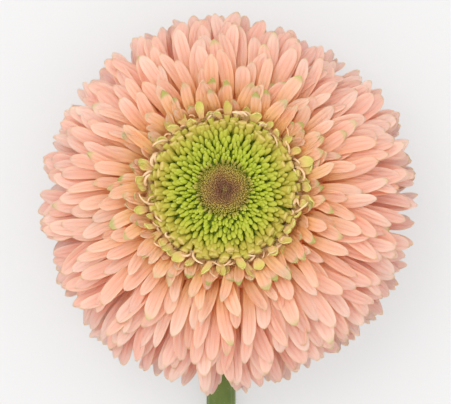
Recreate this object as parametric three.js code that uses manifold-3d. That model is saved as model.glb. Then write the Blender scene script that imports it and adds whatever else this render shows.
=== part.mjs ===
// A cut double gerbera, laid face up on a flat surface. Millimetres, +Z up, surface at z = 0.
// The domed head faces up, its lowest petals rest on the surface, and the leafless stem bends at the neck
// and runs along -Y to its cut end.
import * as THREE from "three";
import { mergeVertices } from "three/addons/utils/BufferGeometryUtils.js";
import Module from "manifold-3d";

const wasm = await Module();
wasm.setup();

// ---- Driving dimensions ----
const NECK_HEIGHT = 18.4; // the receptacle's underside above the surface
const HEAD_TILT = 7; // degrees that the face leans towards +Y
const HEAD_LEAN = 4; // degrees that the face leans towards -X
const CLEARANCE = 0.3; // gap between touching pieces
const LAID_FLAT = 0.4; // how far a petal has to press on the surface to lie flat on it
const STEM_CLEARANCE = 0.9; // gap between the lying stem and the petals over it

// The head in section: petal tips, core and roots lie on three ellipses round the middle of the shoulder.
const TURN = { radius: 22, height: 1 };
const TIP_REACH = { out: 28.6, up: 27 };
const CORE_REACH = { out: 10.5, up: 16.5 };
const ROOT_REACH = { out: 8.5, up: 14 };
const UNDERSIDE = { inner: 11, innerHeight: 0.6, outer: 27, outerHeight: 4, rooted: 0.9 }; // of the core
const LOWEST_LATITUDE = THREE.MathUtils.degToRad(-48); // round the shoulder, where the spiral of petals starts
const HIGHEST_LATITUDE = THREE.MathUtils.degToRad(76); // and where it ends, behind the innermost row
const LOWER_SHARE = 0.55; // how closely the petals stand under the shoulder, against above it
const CORE_TOP = 16.6; // level that carries the florets of the disc
const CORE_TOP_RADIUS = 20.8;
const CORE_SEGMENTS = 28;

const PETALS = {
  count: 166, width: 6.3, thickness: 0.7, uneven: 2.2,
  bow: 0.05, roll: 0.28, astray: 0.03, // radians, at most
  lowestRise: -0.12, highestRise: 1.15, // radians above the head's plane, at the root
};
const STRAP_SHAPE = [[0, 0.42], [0.5, 0.84], [0.82, 1], [1, 0.36]]; // share of the length, share of the width
const INNER_ROW = {
  count: 28, width: 5.6, rise: 0.95, astray: 0.15,
  rootRadius: 20.2, rootHeight: 15, tipRadius: 28.5, tipHeight: 25.5,
};
const RIM = {
  count: 38, inner: 17.9, outer: 20.2, height: 3.4, segments: 32, sunk: 1.2,
  steep: { radius: 19, lean: 56 }, flat: { radius: 19.4, lean: 36 }, astray: 0.08,
  length: 5.4, width: 3.2, thickness: 0.7,
};
const RIM_SHAPE = [[0, 0.7], [0.6, 0.95], [0.85, 0.9], [1, 0.25]]; // share of the length, share of the width
const DISC = {
  inner: 6.5, outer: 17.6, height: 5.2, innerHeight: 3.6, outerHeight: 4.3, crest: 13, segments: 20,
};
const BUDS = {
  count: 84, radius: 1.2, length: 4.4, sides: 5, sunk: 1.2, smallest: 0.82,
  inner: 7.5, outer: 16.1, innerLean: 8, outerLean: 34, astray: 0.1,
};
const BUD_SHAPE = [[0.1, 0.8], [0.7, 1], [1, 0.35]]; // share of the length, share of the radius
const CENTRE = {
  radius: 6.2, height: 4.4, edge: 0.9, rings: 8, around: 26,
  dip: 0.8, dipRadius: 3.5, relief: 0.45,
};
const CUP = { depth: 3.6, bottom: 3.6, belly: 7, bellyDepth: 2.2, top: 9, segments: 20 };
const BRACTS = { count: 22, length: 12.5, width: 3.6, thickness: 0.7, start: 5.8 };
const BRACT_ROWS = [
  { depth: -0.9, length: 1, droop: -18 },
  { depth: -1.9, length: 0.8, droop: -24 },
];
const BRACT_SHAPE = [[0, 0.8], [0.45, 1], [0.78, 0.66], [1, 0.16]]; // share of the length, share of the width
const STEM = {
  neckSide: 1.2, neckDrop: 0.95, // from the middle of the cup's underside to the middle of the stem's top
  neckRadius: 3.1, middleRadius: 3.9, cutRadius: 4.4, sides: 12,
  bend: 16, bendDegrees: 70, bendSteps: 9,
  end: 300, straightSteps: 9,
  lean: -2.2, leanFrom: 10, leanTo: 45, // sideways, between two distances along the surface
  sway: 5, swayFrom: 75, swayTo: 345, swayDegrees: 150,
};

const GOLDEN_ANGLE = Math.PI * (3 - Math.sqrt(5));
const FULL_TURN = 2 * Math.PI;
const UP = new THREE.Vector3(0, 0, 1);
const degrees = THREE.MathUtils.degToRad;
const lerp = THREE.MathUtils.lerp;
const smooth = THREE.MathUtils.smoothstep;

// Every random draw comes from one seeded source, so that each build is the same flower.
function seededRandom(seed) {
  let state = seed;
  return (low, high) => {
    state = (state * 1664525 + 1013904223) % 2 ** 32;
    return lerp(low, high, state / 2 ** 32);
  };
}

// ---- Solids ----

// A closed body through rings of points, all of one length. The quads of the second half of each ring are
// split on the other diagonal, so that the two faces of a waved blade are split alike.
function loft(rings) {
  const sides = rings[0].length;
  const positions = rings.flat().flatMap((p) => [p.x, p.y, p.z]);
  const index = [];
  for (let i = 0; i + 1 < rings.length; i++) {
    for (let k = 0; k < sides; k++) {
      const next = (k + 1) % sides;
      const [a, b, c, d] = [i * sides + k, i * sides + next, (i + 1) * sides + next, (i + 1) * sides + k];
      index.push(...(k * 2 < sides ? [a, b, c, a, c, d] : [a, b, d, b, c, d]));
    }
  }
  const last = (rings.length - 1) * sides;
  for (let k = 1; k + 1 < sides; k++) {
    index.push(0, k + 1, k, last, last + k, last + k + 1);
  }
  return indexed(positions, index);
}

function indexed(positions, index) {
  const geometry = new THREE.BufferGeometry();
  geometry.setAttribute("position", new THREE.Float32BufferAttribute(positions, 3));
  geometry.setIndex(index);
  return geometry;
}

// The manifold solid of a closed three.js geometry, turned to face out.
function solidOf(geometry) {
  const bare = new THREE.BufferGeometry();
  const plain = geometry.index ? geometry.toNonIndexed() : geometry;
  bare.setAttribute("position", plain.getAttribute("position"));
  const merged = mergeVertices(bare, 1e-4);
  const vertProperties = new Float32Array(merged.attributes.position.array);
  const triVerts = new Uint32Array(merged.index.array);
  const made = new wasm.Manifold(new wasm.Mesh({ numProp: 3, vertProperties, triVerts }));
  if (made.volume() >= 0) return made;
  for (let i = 0; i < triVerts.length; i += 3) {
    [triVerts[i + 1], triVerts[i + 2]] = [triVerts[i + 2], triVerts[i + 1]];
  }
  return new wasm.Manifold(new wasm.Mesh({ numProp: 3, vertProperties, triVerts }));
}

// The union of some geometries as one three.js geometry, without slivers or loose scraps.
function fuse(geometries) {
  const sliver = 0.06;
  const joined = wasm.Manifold.union(geometries.map(solidOf)).simplify(sliver);
  const largest = joined.decompose().reduce((a, b) => (a.volume() > b.volume() ? a : b));
  const mesh = largest.getMesh();
  return indexed([...mesh.vertProperties], [...mesh.triVerts]);
}

// A turned solid from a profile of [radius, height] points that ends on the axis or closes on itself.
function turned(profile, segments) {
  const points = profile.map(([r, z]) => new THREE.Vector2(r, z));
  return new THREE.LatheGeometry(points, segments).rotateX(Math.PI / 2);
}

// A blade from its root, along a spine of stations { at, out, side, half, thick }: a place, the direction of
// its upper face, the direction across it, its half width and its thickness.
function blade(stations) {
  return loft(
    stations.map(({ at, out, side, half, thick }) => {
      const corner = (across, through) =>
        at.clone().addScaledVector(side, across * half).addScaledVector(out, through * thick);
      return [corner(1, 0.5), corner(-1, 0.5), corner(-1, -0.5), corner(1, -0.5)];
    }),
  );
}

// A point at a radius, an azimuth and a height.
const polar = (radius, azimuth, z) =>
  new THREE.Vector3(radius * Math.cos(azimuth), radius * Math.sin(azimuth), z);

// The direction across a blade that stands at an azimuth.
const across = (azimuth) => polar(1, azimuth + Math.PI / 2, 0);

function material(color, roughness) {
  return new THREE.MeshStandardMaterial({ color, roughness, metalness: 0 });
}

function named(name, geometry, itsMaterial) {
  const mesh = new THREE.Mesh(geometry, itsMaterial);
  mesh.name = name;
  return mesh;
}

// ---- The head's place: its own frame has its origin at the neck and +Z along the face ----
const headPlace = new THREE.Matrix4()
  .makeRotationFromEuler(new THREE.Euler(degrees(-HEAD_TILT), degrees(-HEAD_LEAN), 0))
  .setPosition(0, 0, NECK_HEIGHT);

// ---- Stem ----

// How far the lying stem strays sideways at a distance along -Y.
function stemSway(y) {
  const leaning = STEM.lean * smooth(-y, STEM.leanFrom, STEM.leanTo);
  return leaning + STEM.sway * Math.sin(degrees(STEM.swayDegrees) * smooth(-y, STEM.swayFrom, STEM.swayTo));
}

// The stem's centre line: down from the neck, round the bend, and along the surface in one slow curve.
function stemStations() {
  const start = degrees(STEM.bendDegrees);
  const top = new THREE.Vector3(0, -STEM.neckSide, NECK_HEIGHT - CUP.depth - STEM.neckDrop);
  const lowest = STEM.middleRadius * Math.cos(Math.PI / STEM.sides);
  const drop = STEM.bend * (1 - Math.cos(start));
  const stations = [];
  for (let i = 0; i <= STEM.bendSteps; i++) {
    const share = i / STEM.bendSteps;
    const down = start * (1 - share);
    const fallen = (STEM.bend * (Math.cos(down) - Math.cos(start))) / drop;
    const y = top.y - STEM.bend * (Math.sin(start) - Math.sin(down));
    const at = new THREE.Vector3(stemSway(y), y, lerp(top.z, lowest, fallen));
    stations.push({ at, down, radius: lerp(STEM.neckRadius, STEM.middleRadius, share) });
  }
  const bendEnd = stations[STEM.bendSteps].at;
  for (let i = 1; i <= STEM.straightSteps; i++) {
    const share = i / STEM.straightSteps;
    const y = lerp(bendEnd.y, -STEM.end, share);
    const radius = lerp(STEM.middleRadius, STEM.cutRadius, share);
    const at = new THREE.Vector3(stemSway(y), y, radius * Math.cos(Math.PI / STEM.sides));
    stations.push({ at, down: 0, radius });
  }
  return stations;
}

// The stem has a flat side down, so that it lies on a narrow flat strip.
function stem() {
  const rings = stemStations().map(({ at, down, radius }) => {
    const up = new THREE.Vector3(0, -Math.sin(down), Math.cos(down));
    return Array.from({ length: STEM.sides }, (_, k) => {
      const turn = ((k + 0.5) / STEM.sides) * FULL_TURN + Math.PI / 2;
      const sideways = new THREE.Vector3(radius * Math.cos(turn), 0, 0);
      return at.clone().add(sideways).addScaledVector(up, radius * Math.sin(turn));
    });
  });
  return loft(rings);
}

// The lowest that a petal's underside may lie at a place: the surface, or clear over the lying stem.
function floorUnder(x, y) {
  const fade = 4.5;
  const beside = Math.abs(x - stemSway(y)) - STEM.middleRadius;
  const overStem = 2 * STEM.middleRadius + STEM_CLEARANCE;
  return overStem * smooth(fade + 2 - beside, 0, fade) * smooth(-y, 4, 12);
}

// ---- Petals ----

// The latitude, round the shoulder, of the petal at a share of the way up the spiral. The petals are spread
// evenly over the head's curved surface, by halving on the area below each latitude, and wider apart below.
function latitudeAt(share) {
  const area = (a) => (TURN.radius * a + TIP_REACH.out * Math.sin(a)) * (a < 0 ? LOWER_SHARE : 1);
  const wanted = lerp(area(LOWEST_LATITUDE), area(HIGHEST_LATITUDE), share);
  let [low, high] = [LOWEST_LATITUDE, HIGHEST_LATITUDE];
  const halvings = 30;
  for (let i = 0; i < halvings; i++) {
    const middle = (low + high) / 2;
    if (area(middle) < wanted) low = middle;
    else high = middle;
  }
  return low;
}

const onShoulder = (reach, latitude) => [
  TURN.radius + reach.out * Math.cos(latitude),
  TURN.height + reach.up * Math.sin(latitude),
];

// Where the petal at a latitude is rooted: under the shoulder in the core's lower face, and above it further
// round the shoulder than its tip, so that the petals lean outwards.
function rootAt(latitude) {
  if (latitude >= 0) return onShoulder(ROOT_REACH, latitude * lerp(1, 1.2, latitude / HIGHEST_LATITUDE));
  const { inner, innerHeight, outer, outerHeight, rooted } = UNDERSIDE;
  const outward = 1 - latitude / LOWEST_LATITUDE;
  return [lerp(inner, outer - 2 * rooted, outward), rooted + lerp(innerHeight, outerHeight - rooted, outward)];
}

// One strap petal, from its sunken root to its blunt tip, in the part's frame. Its spine leaves the root at a
// rise above the head's plane and bends over towards the tip; it bows sideways and rolls a little on the way.
function strap({ root, tip, rise, azimuth, bow, roll, half }) {
  const start = new THREE.Vector2(Math.cos(rise), Math.sin(rise));
  const knee = root.clone().addScaledVector(start, root.distanceTo(tip) / 2);
  const curve = new THREE.QuadraticBezierCurve(root, knee, tip);
  const stations = STRAP_SHAPE.map(([along, wide]) => {
    const place = curve.getPoint(along);
    const heading = curve.getTangent(along);
    const turn = azimuth + bow * along * along;
    const at = polar(place.x, turn, place.y).applyMatrix4(headPlace);
    const ahead = polar(heading.x, turn, heading.y).transformDirection(headPlace);
    const out = polar(-heading.y, turn, heading.x).transformDirection(headPlace);
    const side = across(turn).transformDirection(headPlace);
    out.applyAxisAngle(ahead, roll * along);
    side.applyAxisAngle(ahead, roll * along);
    return { at, out, side, half: half * wide, thick: PETALS.thickness };
  });
  layTipFlat(stations);
  stations.forEach(liftClear);
  return blade(stations);
}

// How far a station of a blade reaches down from its middle, and the floor under it.
function standing({ at, out, side, half, thick }) {
  const reach = Math.abs(side.z) * half + (Math.abs(out.z) * thick) / 2;
  const floors = [-1, 0, 1].map((k) => floorUnder(at.x + k * side.x * half, at.y + k * side.y * half));
  return { reach, floor: Math.max(...floors) };
}

// Raises a station of a blade that would reach below its floor, and turns its face level there.
function liftClear(station) {
  const { at, out, side } = station;
  const { reach, floor } = standing(station);
  const sunk = floor - (at.z - reach);
  if (sunk <= 0) return;
  const level = smooth(sunk, 0, LAID_FLAT);
  side.lerp(new THREE.Vector3(side.x, side.y, 0).normalize(), level).normalize();
  out.lerp(UP, level).normalize();
  at.z = floor + standing(station).reach;
}

// A petal whose tip would press on the surface bends there instead, and its last part lies flat along it.
function layTipFlat(stations) {
  const [bend, end] = stations.slice(-2);
  const { reach, floor } = standing(end);
  if (floor > 0 || end.at.z - reach > -LAID_FLAT) return;
  const last = end.at.clone().sub(bend.at);
  const along = last.clone().setZ(0).setLength(last.length());
  bend.at.z = bend.thick / 2;
  end.at.copy(bend.at).add(along);
  for (const station of [bend, end]) {
    station.out.copy(UP);
    station.side.set(-along.y, along.x, 0).normalize();
  }
}

// A petal of the spiral that winds up round the head from its underside to the disc.
function spiralPetal(i, random) {
  const latitude = latitudeAt(i / (PETALS.count - 1));
  const [tipR, tipZ] = onShoulder(TIP_REACH, latitude);
  const shortened = random(0, PETALS.uneven);
  return strap({
    root: new THREE.Vector2(...rootAt(latitude)),
    tip: new THREE.Vector2(tipR - shortened * Math.cos(latitude), tipZ - shortened * Math.sin(latitude)),
    rise: lerp(PETALS.lowestRise, PETALS.highestRise, smooth(latitude, degrees(-30), degrees(85))),
    azimuth: i * GOLDEN_ANGLE + random(-PETALS.astray, PETALS.astray),
    bow: random(-PETALS.bow, PETALS.bow),
    roll: random(-PETALS.roll, PETALS.roll),
    half: (PETALS.width / 2) * random(0.86, 1.08),
  });
}

// A petal of the innermost row: short, and leaning out from under the rim of the disc.
function innerPetal(i, random) {
  const shortened = random(0, PETALS.uneven);
  return strap({
    root: new THREE.Vector2(INNER_ROW.rootRadius, INNER_ROW.rootHeight),
    tip: new THREE.Vector2(INNER_ROW.tipRadius - shortened, INNER_ROW.tipHeight - shortened),
    rise: INNER_ROW.rise,
    azimuth: ((i + random(-INNER_ROW.astray, INNER_ROW.astray)) / INNER_ROW.count) * FULL_TURN,
    bow: random(-PETALS.bow, PETALS.bow),
    roll: random(-PETALS.roll, PETALS.roll),
    half: INNER_ROW.width / 2,
  });
}

// The head's inner mass, which the petals stand out of, with the level top that carries the disc.
function core() {
  const { inner, innerHeight, outer, outerHeight } = UNDERSIDE;
  const shoulder = [20, 40, 60, 80].map((latitude) => onShoulder(CORE_REACH, degrees(latitude)));
  const bottom = [[0, innerHeight], [inner, innerHeight], [outer, outerHeight]];
  const profile = [...bottom, ...shoulder, [CORE_TOP_RADIUS, CORE_TOP], [0, CORE_TOP]];
  return turned(profile, CORE_SEGMENTS).applyMatrix4(headPlace);
}

function rayFlorets() {
  const random = seededRandom(11);
  const spiral = Array.from({ length: PETALS.count }, (_, i) => spiralPetal(i, random));
  const innermost = Array.from({ length: INNER_ROW.count }, (_, i) => innerPetal(i, random));
  return fuse([core(), ...spiral, ...innermost]);
}

// ---- Disc: rim florets, green florets in bud, and the unopened centre ----
const discFloor = CORE_TOP + CLEARANCE;

// A straight blade that leans out of the head at an azimuth, from a radius and a height.
function leaningBlade({ radius, height, azimuth, length, lean, width, thickness, shape }) {
  return blade(
    shape.map(([along, wide]) => {
      const angle = typeof lean === "function" ? lean(along) : lean;
      const reach = along * length;
      return {
        at: polar(radius + reach * Math.cos(angle), azimuth, height + reach * Math.sin(angle)),
        out: polar(-Math.sin(angle), azimuth, Math.cos(angle)),
        side: across(azimuth),
        half: (width / 2) * wide,
        thick: thickness,
      };
    }),
  );
}

// One ring of short spatulate florets, by turns steep and flat, that flare out over the innermost petals.
function rimFlorets() {
  const top = discFloor + RIM.height;
  const bottom = [[RIM.inner, discFloor], [RIM.outer, discFloor]];
  const ring = turned([...bottom, [RIM.outer, top], [RIM.inner, top], bottom[0]], RIM.segments);
  const random = seededRandom(23);
  const florets = Array.from({ length: RIM.count }, (_, i) => {
    const row = i % 2 ? RIM.steep : RIM.flat;
    return leaningBlade({
      radius: row.radius,
      height: top - RIM.sunk,
      azimuth: ((i + random(-RIM.astray, RIM.astray)) / RIM.count) * FULL_TURN,
      length: RIM.length * random(0.88, 1.06),
      lean: degrees(row.lean) + random(-RIM.astray, RIM.astray),
      width: RIM.width,
      thickness: RIM.thickness,
      shape: RIM_SHAPE,
    });
  });
  return fuse([ring, ...florets]);
}

// The height of the disc's cushion at a radius: a low crest that dips to the centre and to the rim.
function cushion(r) {
  const { inner, outer, crest, height, innerHeight, outerHeight } = DISC;
  if (r < crest) return discFloor + lerp(innerHeight, height, smooth(r, inner, crest));
  return discFloor + lerp(height, outerHeight, smooth(r, crest, outer));
}

// One closed floret: a bud that stands out of the cushion and leans outwards, more towards the rim.
function bud(i, random) {
  const r = Math.sqrt(lerp(BUDS.inner ** 2, BUDS.outer ** 2, (i + 0.5) / BUDS.count));
  const outward = smooth(r, BUDS.inner, BUDS.outer);
  const azimuth = i * GOLDEN_ANGLE;
  const lean = degrees(lerp(BUDS.innerLean, BUDS.outerLean, outward)) + random(-BUDS.astray, BUDS.astray);
  const grown = lerp(BUDS.smallest, 1, outward);
  const along = polar(Math.sin(lean), azimuth, Math.cos(lean));
  const side = across(azimuth);
  const out = new THREE.Vector3().crossVectors(along, side);
  const foot = polar(r, azimuth, cushion(r) - BUDS.sunk);
  const rings = BUD_SHAPE.map(([height, wide]) =>
    Array.from({ length: BUDS.sides }, (_, k) => {
      const turn = (k / BUDS.sides) * FULL_TURN;
      const radius = BUDS.radius * grown * wide;
      return foot
        .clone()
        .addScaledVector(along, height * BUDS.length * grown)
        .addScaledVector(side, radius * Math.cos(turn))
        .addScaledVector(out, radius * Math.sin(turn));
    }),
  );
  return loft(rings);
}

function discFlorets() {
  const { inner, outer, crest, segments } = DISC;
  const bottom = [[inner, discFloor], [outer, discFloor]];
  const top = [outer, crest, inner].map((r) => [r, cushion(r)]);
  const base = turned([...bottom, ...top, bottom[0]], segments);
  const random = seededRandom(37);
  const buds = Array.from({ length: BUDS.count }, (_, i) => bud(i, random));
  return fuse([base, ...buds]);
}

// The centre of tiny closed buds: a low dome whose surface is raised in two crossing sets of spirals.
function discCentre() {
  const { radius, height, dip, dipRadius, edge, relief, rings, around } = CENTRE;
  const top = discFloor + height;
  const surface = (ring, k) => {
    const r = (radius * ring) / rings;
    const azimuth = ((k + (ring % 2) / 2) / around) * FULL_TURN;
    if (ring === rings) return polar(r, azimuth, top - edge);
    const bump = relief * Math.cos((around / 2) * azimuth) * Math.cos(Math.PI * ring) * smooth(r, 1, 3);
    return polar(r, azimuth, top - dip * smooth(dipRadius - r, 0, dipRadius) + bump);
  };
  const points = [polar(0, 0, discFloor), polar(0, 0, top - dip)];
  for (let ring = 1; ring <= rings; ring++) {
    for (let k = 0; k < around; k++) points.push(surface(ring, k));
  }
  for (let k = 0; k < around; k++) points.push(polar(radius, (k / around) * FULL_TURN, discFloor));
  const at = (ring, k) => 2 + (ring - 1) * around + (k % around);
  const index = [];
  for (let k = 0; k < around; k++) {
    index.push(1, at(1, k), at(1, k + 1));
    for (let ring = 1; ring <= rings; ring++) {
      index.push(at(ring, k), at(ring + 1, k), at(ring + 1, k + 1));
      index.push(at(ring, k), at(ring + 1, k + 1), at(ring, k + 1));
    }
    index.push(0, at(rings + 1, k + 1), at(rings + 1, k));
  }
  return indexed(points.flatMap((p) => p.toArray()), index);
}

// ---- Involucre: the cup of green bracts under the head ----
function involucre() {
  const lip = UNDERSIDE.innerHeight - CLEARANCE;
  const below = [[0, -CUP.depth], [CUP.bottom, -CUP.depth], [CUP.belly, -CUP.bellyDepth]];
  const cup = turned([...below, [CUP.top, lip], [0, lip]], CUP.segments);
  const bracts = Array.from({ length: BRACTS.count }, (_, i) => {
    const row = BRACT_ROWS[i % BRACT_ROWS.length];
    return leaningBlade({
      radius: BRACTS.start,
      height: row.depth,
      azimuth: (i / BRACTS.count) * FULL_TURN,
      length: BRACTS.length * row.length,
      lean: (along) => degrees(row.droop) * lerp(0.4, 1, along),
      width: BRACTS.width,
      thickness: BRACTS.thickness,
      shape: BRACT_SHAPE,
    });
  });
  return fuse([cup, ...bracts]);
}

// ---- The flower ----
const head = new THREE.Group();
head.applyMatrix4(headPlace);
head.add(
  named("rim_florets", rimFlorets(), material(0xc4b95c, 0.6)),
  named("disc_florets", discFlorets(), material(0x9fb534, 0.55)),
  named("disc_centre", discCentre(), material(0x7d5c38, 0.8)),
  named("involucre", involucre(), material(0x6f8f46, 0.6)),
);

const flower = new THREE.Group();
flower.add(
  head,
  named("ray_florets", rayFlorets(), material(0xf0b090, 0.55)),
  named("stem", stem(), material(0x5f7339, 0.6)),
);

// The part's origin is under the middle of its outline, on the surface.
const outline = new THREE.Box3().setFromObject(flower, true);
const middle = outline.getCenter(new THREE.Vector3());
flower.position.set(-middle.x, -middle.y, 0);

export default flower;
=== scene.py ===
"""A cut double gerbera, laid face up on a pale surface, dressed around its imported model.

Sizes are millimetres until a mesh is handed to Blender, which works in metres. The head has a frame of its
own: its origin is at the neck, and +Z runs out of the flower's face.
"""
import logging
import math
from dataclasses import dataclass, field
from enum import Enum, IntEnum

import bpy
import numpy as np
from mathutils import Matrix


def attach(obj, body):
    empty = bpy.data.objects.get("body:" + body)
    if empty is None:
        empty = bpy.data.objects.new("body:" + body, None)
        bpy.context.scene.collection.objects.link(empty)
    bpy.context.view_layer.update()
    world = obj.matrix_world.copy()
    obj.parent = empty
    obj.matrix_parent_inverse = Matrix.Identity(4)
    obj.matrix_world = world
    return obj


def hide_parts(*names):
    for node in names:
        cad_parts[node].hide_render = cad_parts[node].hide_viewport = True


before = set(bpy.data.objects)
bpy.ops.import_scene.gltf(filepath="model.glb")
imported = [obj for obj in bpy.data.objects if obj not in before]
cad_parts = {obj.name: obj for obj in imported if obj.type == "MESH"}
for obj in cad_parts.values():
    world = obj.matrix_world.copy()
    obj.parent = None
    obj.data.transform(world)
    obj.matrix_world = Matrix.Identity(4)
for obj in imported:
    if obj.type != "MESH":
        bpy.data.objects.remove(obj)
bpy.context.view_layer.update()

LOG = logging.getLogger("gerbera")
MM = 0.001
FULL_TURN = 2 * math.pi
GOLDEN_ANGLE = math.pi * (3 - math.sqrt(5))
BAKE_MAP = "OFBake"
BODY = "root"
GROOVE_PLACE = 0.34  # of a blade's two grooves, over the half width
GROOVE_WIDTH = 0.12
MIX_INPUTS = (0, 6, 7)  # a colour Mix node's share and two colours
MIX_RESULT = 2

Array = np.ndarray
Triple = tuple[float, float, float]
Colour = Triple
Span = tuple[float, float]
Profile = tuple[tuple[float, ...], ...]
Stops = tuple[tuple[float, Colour], ...]
Socket = bpy.types.NodeSocket


class PointValue(Enum):
    """The values that meshes carry on their points for the materials to read."""

    ALONG = "along"  # 0 at a blade's or bud's root, 1 at its tip
    ACROSS = "across"  # -1 and 1 at a blade's two edges
    TIER = "tier"  # 0 low on the head or near the disc's middle, 1 high or far out
    SEED = "seed"  # a random share for each petal or bud
    GREEN = "green"  # how green a petal's tip is
    UNDER = "under"  # 1 on a blade's lower face


class BladeFace(IntEnum):
    """The groups of faces that a blade is made of, in their order."""

    UPPER = 0
    LOWER = 1
    RIM = 2


def smooth(value: Array | float, low: float, high: float) -> Array:
    """Eases a value from 0 at low to 1 at high."""
    share = np.clip((np.asarray(value, float) - low) / (high - low), 0, 1)
    return share * share * (3 - 2 * share)


def blend(start: Array | float, end: Array | float, share: Array | float) -> Array:
    """Goes from start to end by a share."""
    return np.asarray(start) * (1 - np.asarray(share)) + np.asarray(end) * np.asarray(share)


def ridge(value: Array, middle: float, width: float) -> Array:
    """The height at a value of a bell-shaped ridge of height 1."""
    return np.exp(-(((value - middle) / width) ** 2))


def polar(radius: Array, azimuth: Array, height: Array) -> Array:
    """Points of the head's frame from their radius, azimuth and height."""
    return np.stack([radius * np.cos(azimuth), radius * np.sin(azimuth), height + 0 * radius], axis=-1)


def unit(vectors: Array) -> Array:
    """Brings vectors to length 1."""
    return vectors / np.linalg.norm(vectors, axis=1, keepdims=True)


# ---- Where the head and the stem are ----


@dataclass(frozen=True)
class HeadFrame:
    """The head's place in the flower: its neck, and how its face leans."""

    neck: Triple = (0.113, 125.875, 18.4)
    tilt: float = 7.0  # degrees towards +Y
    lean: float = 4.0  # degrees towards -X

    def turning(self) -> Array:
        """Works out how the head is turned.

        Returns:
            The 3 x 3 matrix that turns the head's frame into the flower's.
        """
        x, y = math.radians(-self.tilt), math.radians(-self.lean)
        about_x = np.array([[1, 0, 0], [0, math.cos(x), -math.sin(x)], [0, math.sin(x), math.cos(x)]])
        about_y = np.array([[math.cos(y), 0, math.sin(y)], [0, 1, 0], [-math.sin(y), 0, math.cos(y)]])
        return about_x @ about_y

    def place(self, points: Array) -> Array:
        """Moves points of the head's frame into the flower's."""
        return points @ self.turning().T + np.array(self.neck)


HEAD = HeadFrame()


@dataclass(frozen=True)
class StemRoute:
    """The stem's centre line: down from the neck, round a bend and along the surface to its cut end."""

    neck_side: float = 1.2
    neck_drop: float = 4.55
    neck_radius: float = 3.1
    middle_radius: float = 3.9
    cut_radius: float = 4.4
    bend: float = 16.0
    bend_degrees: float = 70.0
    end: float = 300.0
    lean: float = -2.2
    lean_span: Span = (10.0, 45.0)
    sway: float = 5.0
    sway_span: Span = (75.0, 345.0)
    sway_degrees: float = 150.0
    flatness: float = math.cos(math.pi / 12)  # the lying stem's height over its radius
    steps_round: int = 24  # in the bend
    steps_along: int = 76  # on the lying stretch
    clearance: float = 0.9  # from the lying stem up to the petals over it
    shoulder: float = 2.0  # how far beside the stem the petals still clear it in full
    fade: float = 4.5  # and over what distance they come down to the surface
    covered: Span = (4.0, 12.0)  # where the petals begin to clear it, back from the neck

    def sideways(self, back: Array) -> Array:
        """How far the stem strays sideways at a distance back from the neck."""
        leaning = self.lean * smooth(back, *self.lean_span)
        return leaning + self.sway * np.sin(math.radians(self.sway_degrees) * smooth(back, *self.sway_span))

    def stations(self) -> tuple[Array, Array, Array]:
        """Walks the centre line from the neck to the cut end.

        Returns:
            The places, the angles below the level of the line's direction, and the radii.
        """
        start = math.radians(self.bend_degrees)
        share = np.linspace(0, 1, self.steps_round, endpoint=False)
        down = start * (1 - share)
        top, lowest = HEAD.neck[2] - self.neck_drop, self.middle_radius * self.flatness
        fallen = (np.cos(down) - math.cos(start)) / (1 - math.cos(start))
        back = self.neck_side + self.bend * (math.sin(start) - np.sin(down))
        radius = blend(self.neck_radius, self.middle_radius, share)
        turned = np.stack([back, blend(top, lowest, fallen), down, radius], axis=1)
        share = np.linspace(0, 1, self.steps_along + 1)
        radius = blend(self.middle_radius, self.cut_radius, share)
        back = blend(self.neck_side + self.bend * math.sin(start), self.end, share)
        lying = np.stack([back, radius * self.flatness, np.zeros_like(share), radius], axis=1)
        back, height, down, radius = np.concatenate([turned, lying]).T
        places = np.stack([HEAD.neck[0] + self.sideways(back), HEAD.neck[1] - back, height], axis=1)
        return places, down, radius

    def floor_under(self, points: Array) -> Array:
        """Finds the lowest that a petal may lie: the surface, or clear over the lying stem.

        Args:
            points: Places in the flower's frame.

        Returns:
            The floor's height under each place.
        """
        back = HEAD.neck[1] - points[..., 1]
        beside = np.abs(points[..., 0] - HEAD.neck[0] - self.sideways(back)) - self.middle_radius
        over = 2 * self.middle_radius + self.clearance
        near = smooth(self.fade + self.shoulder - beside, 0, self.fade)
        return over * near * smooth(back, *self.covered)


STEM = StemRoute()


# ---- Meshes ----


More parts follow.
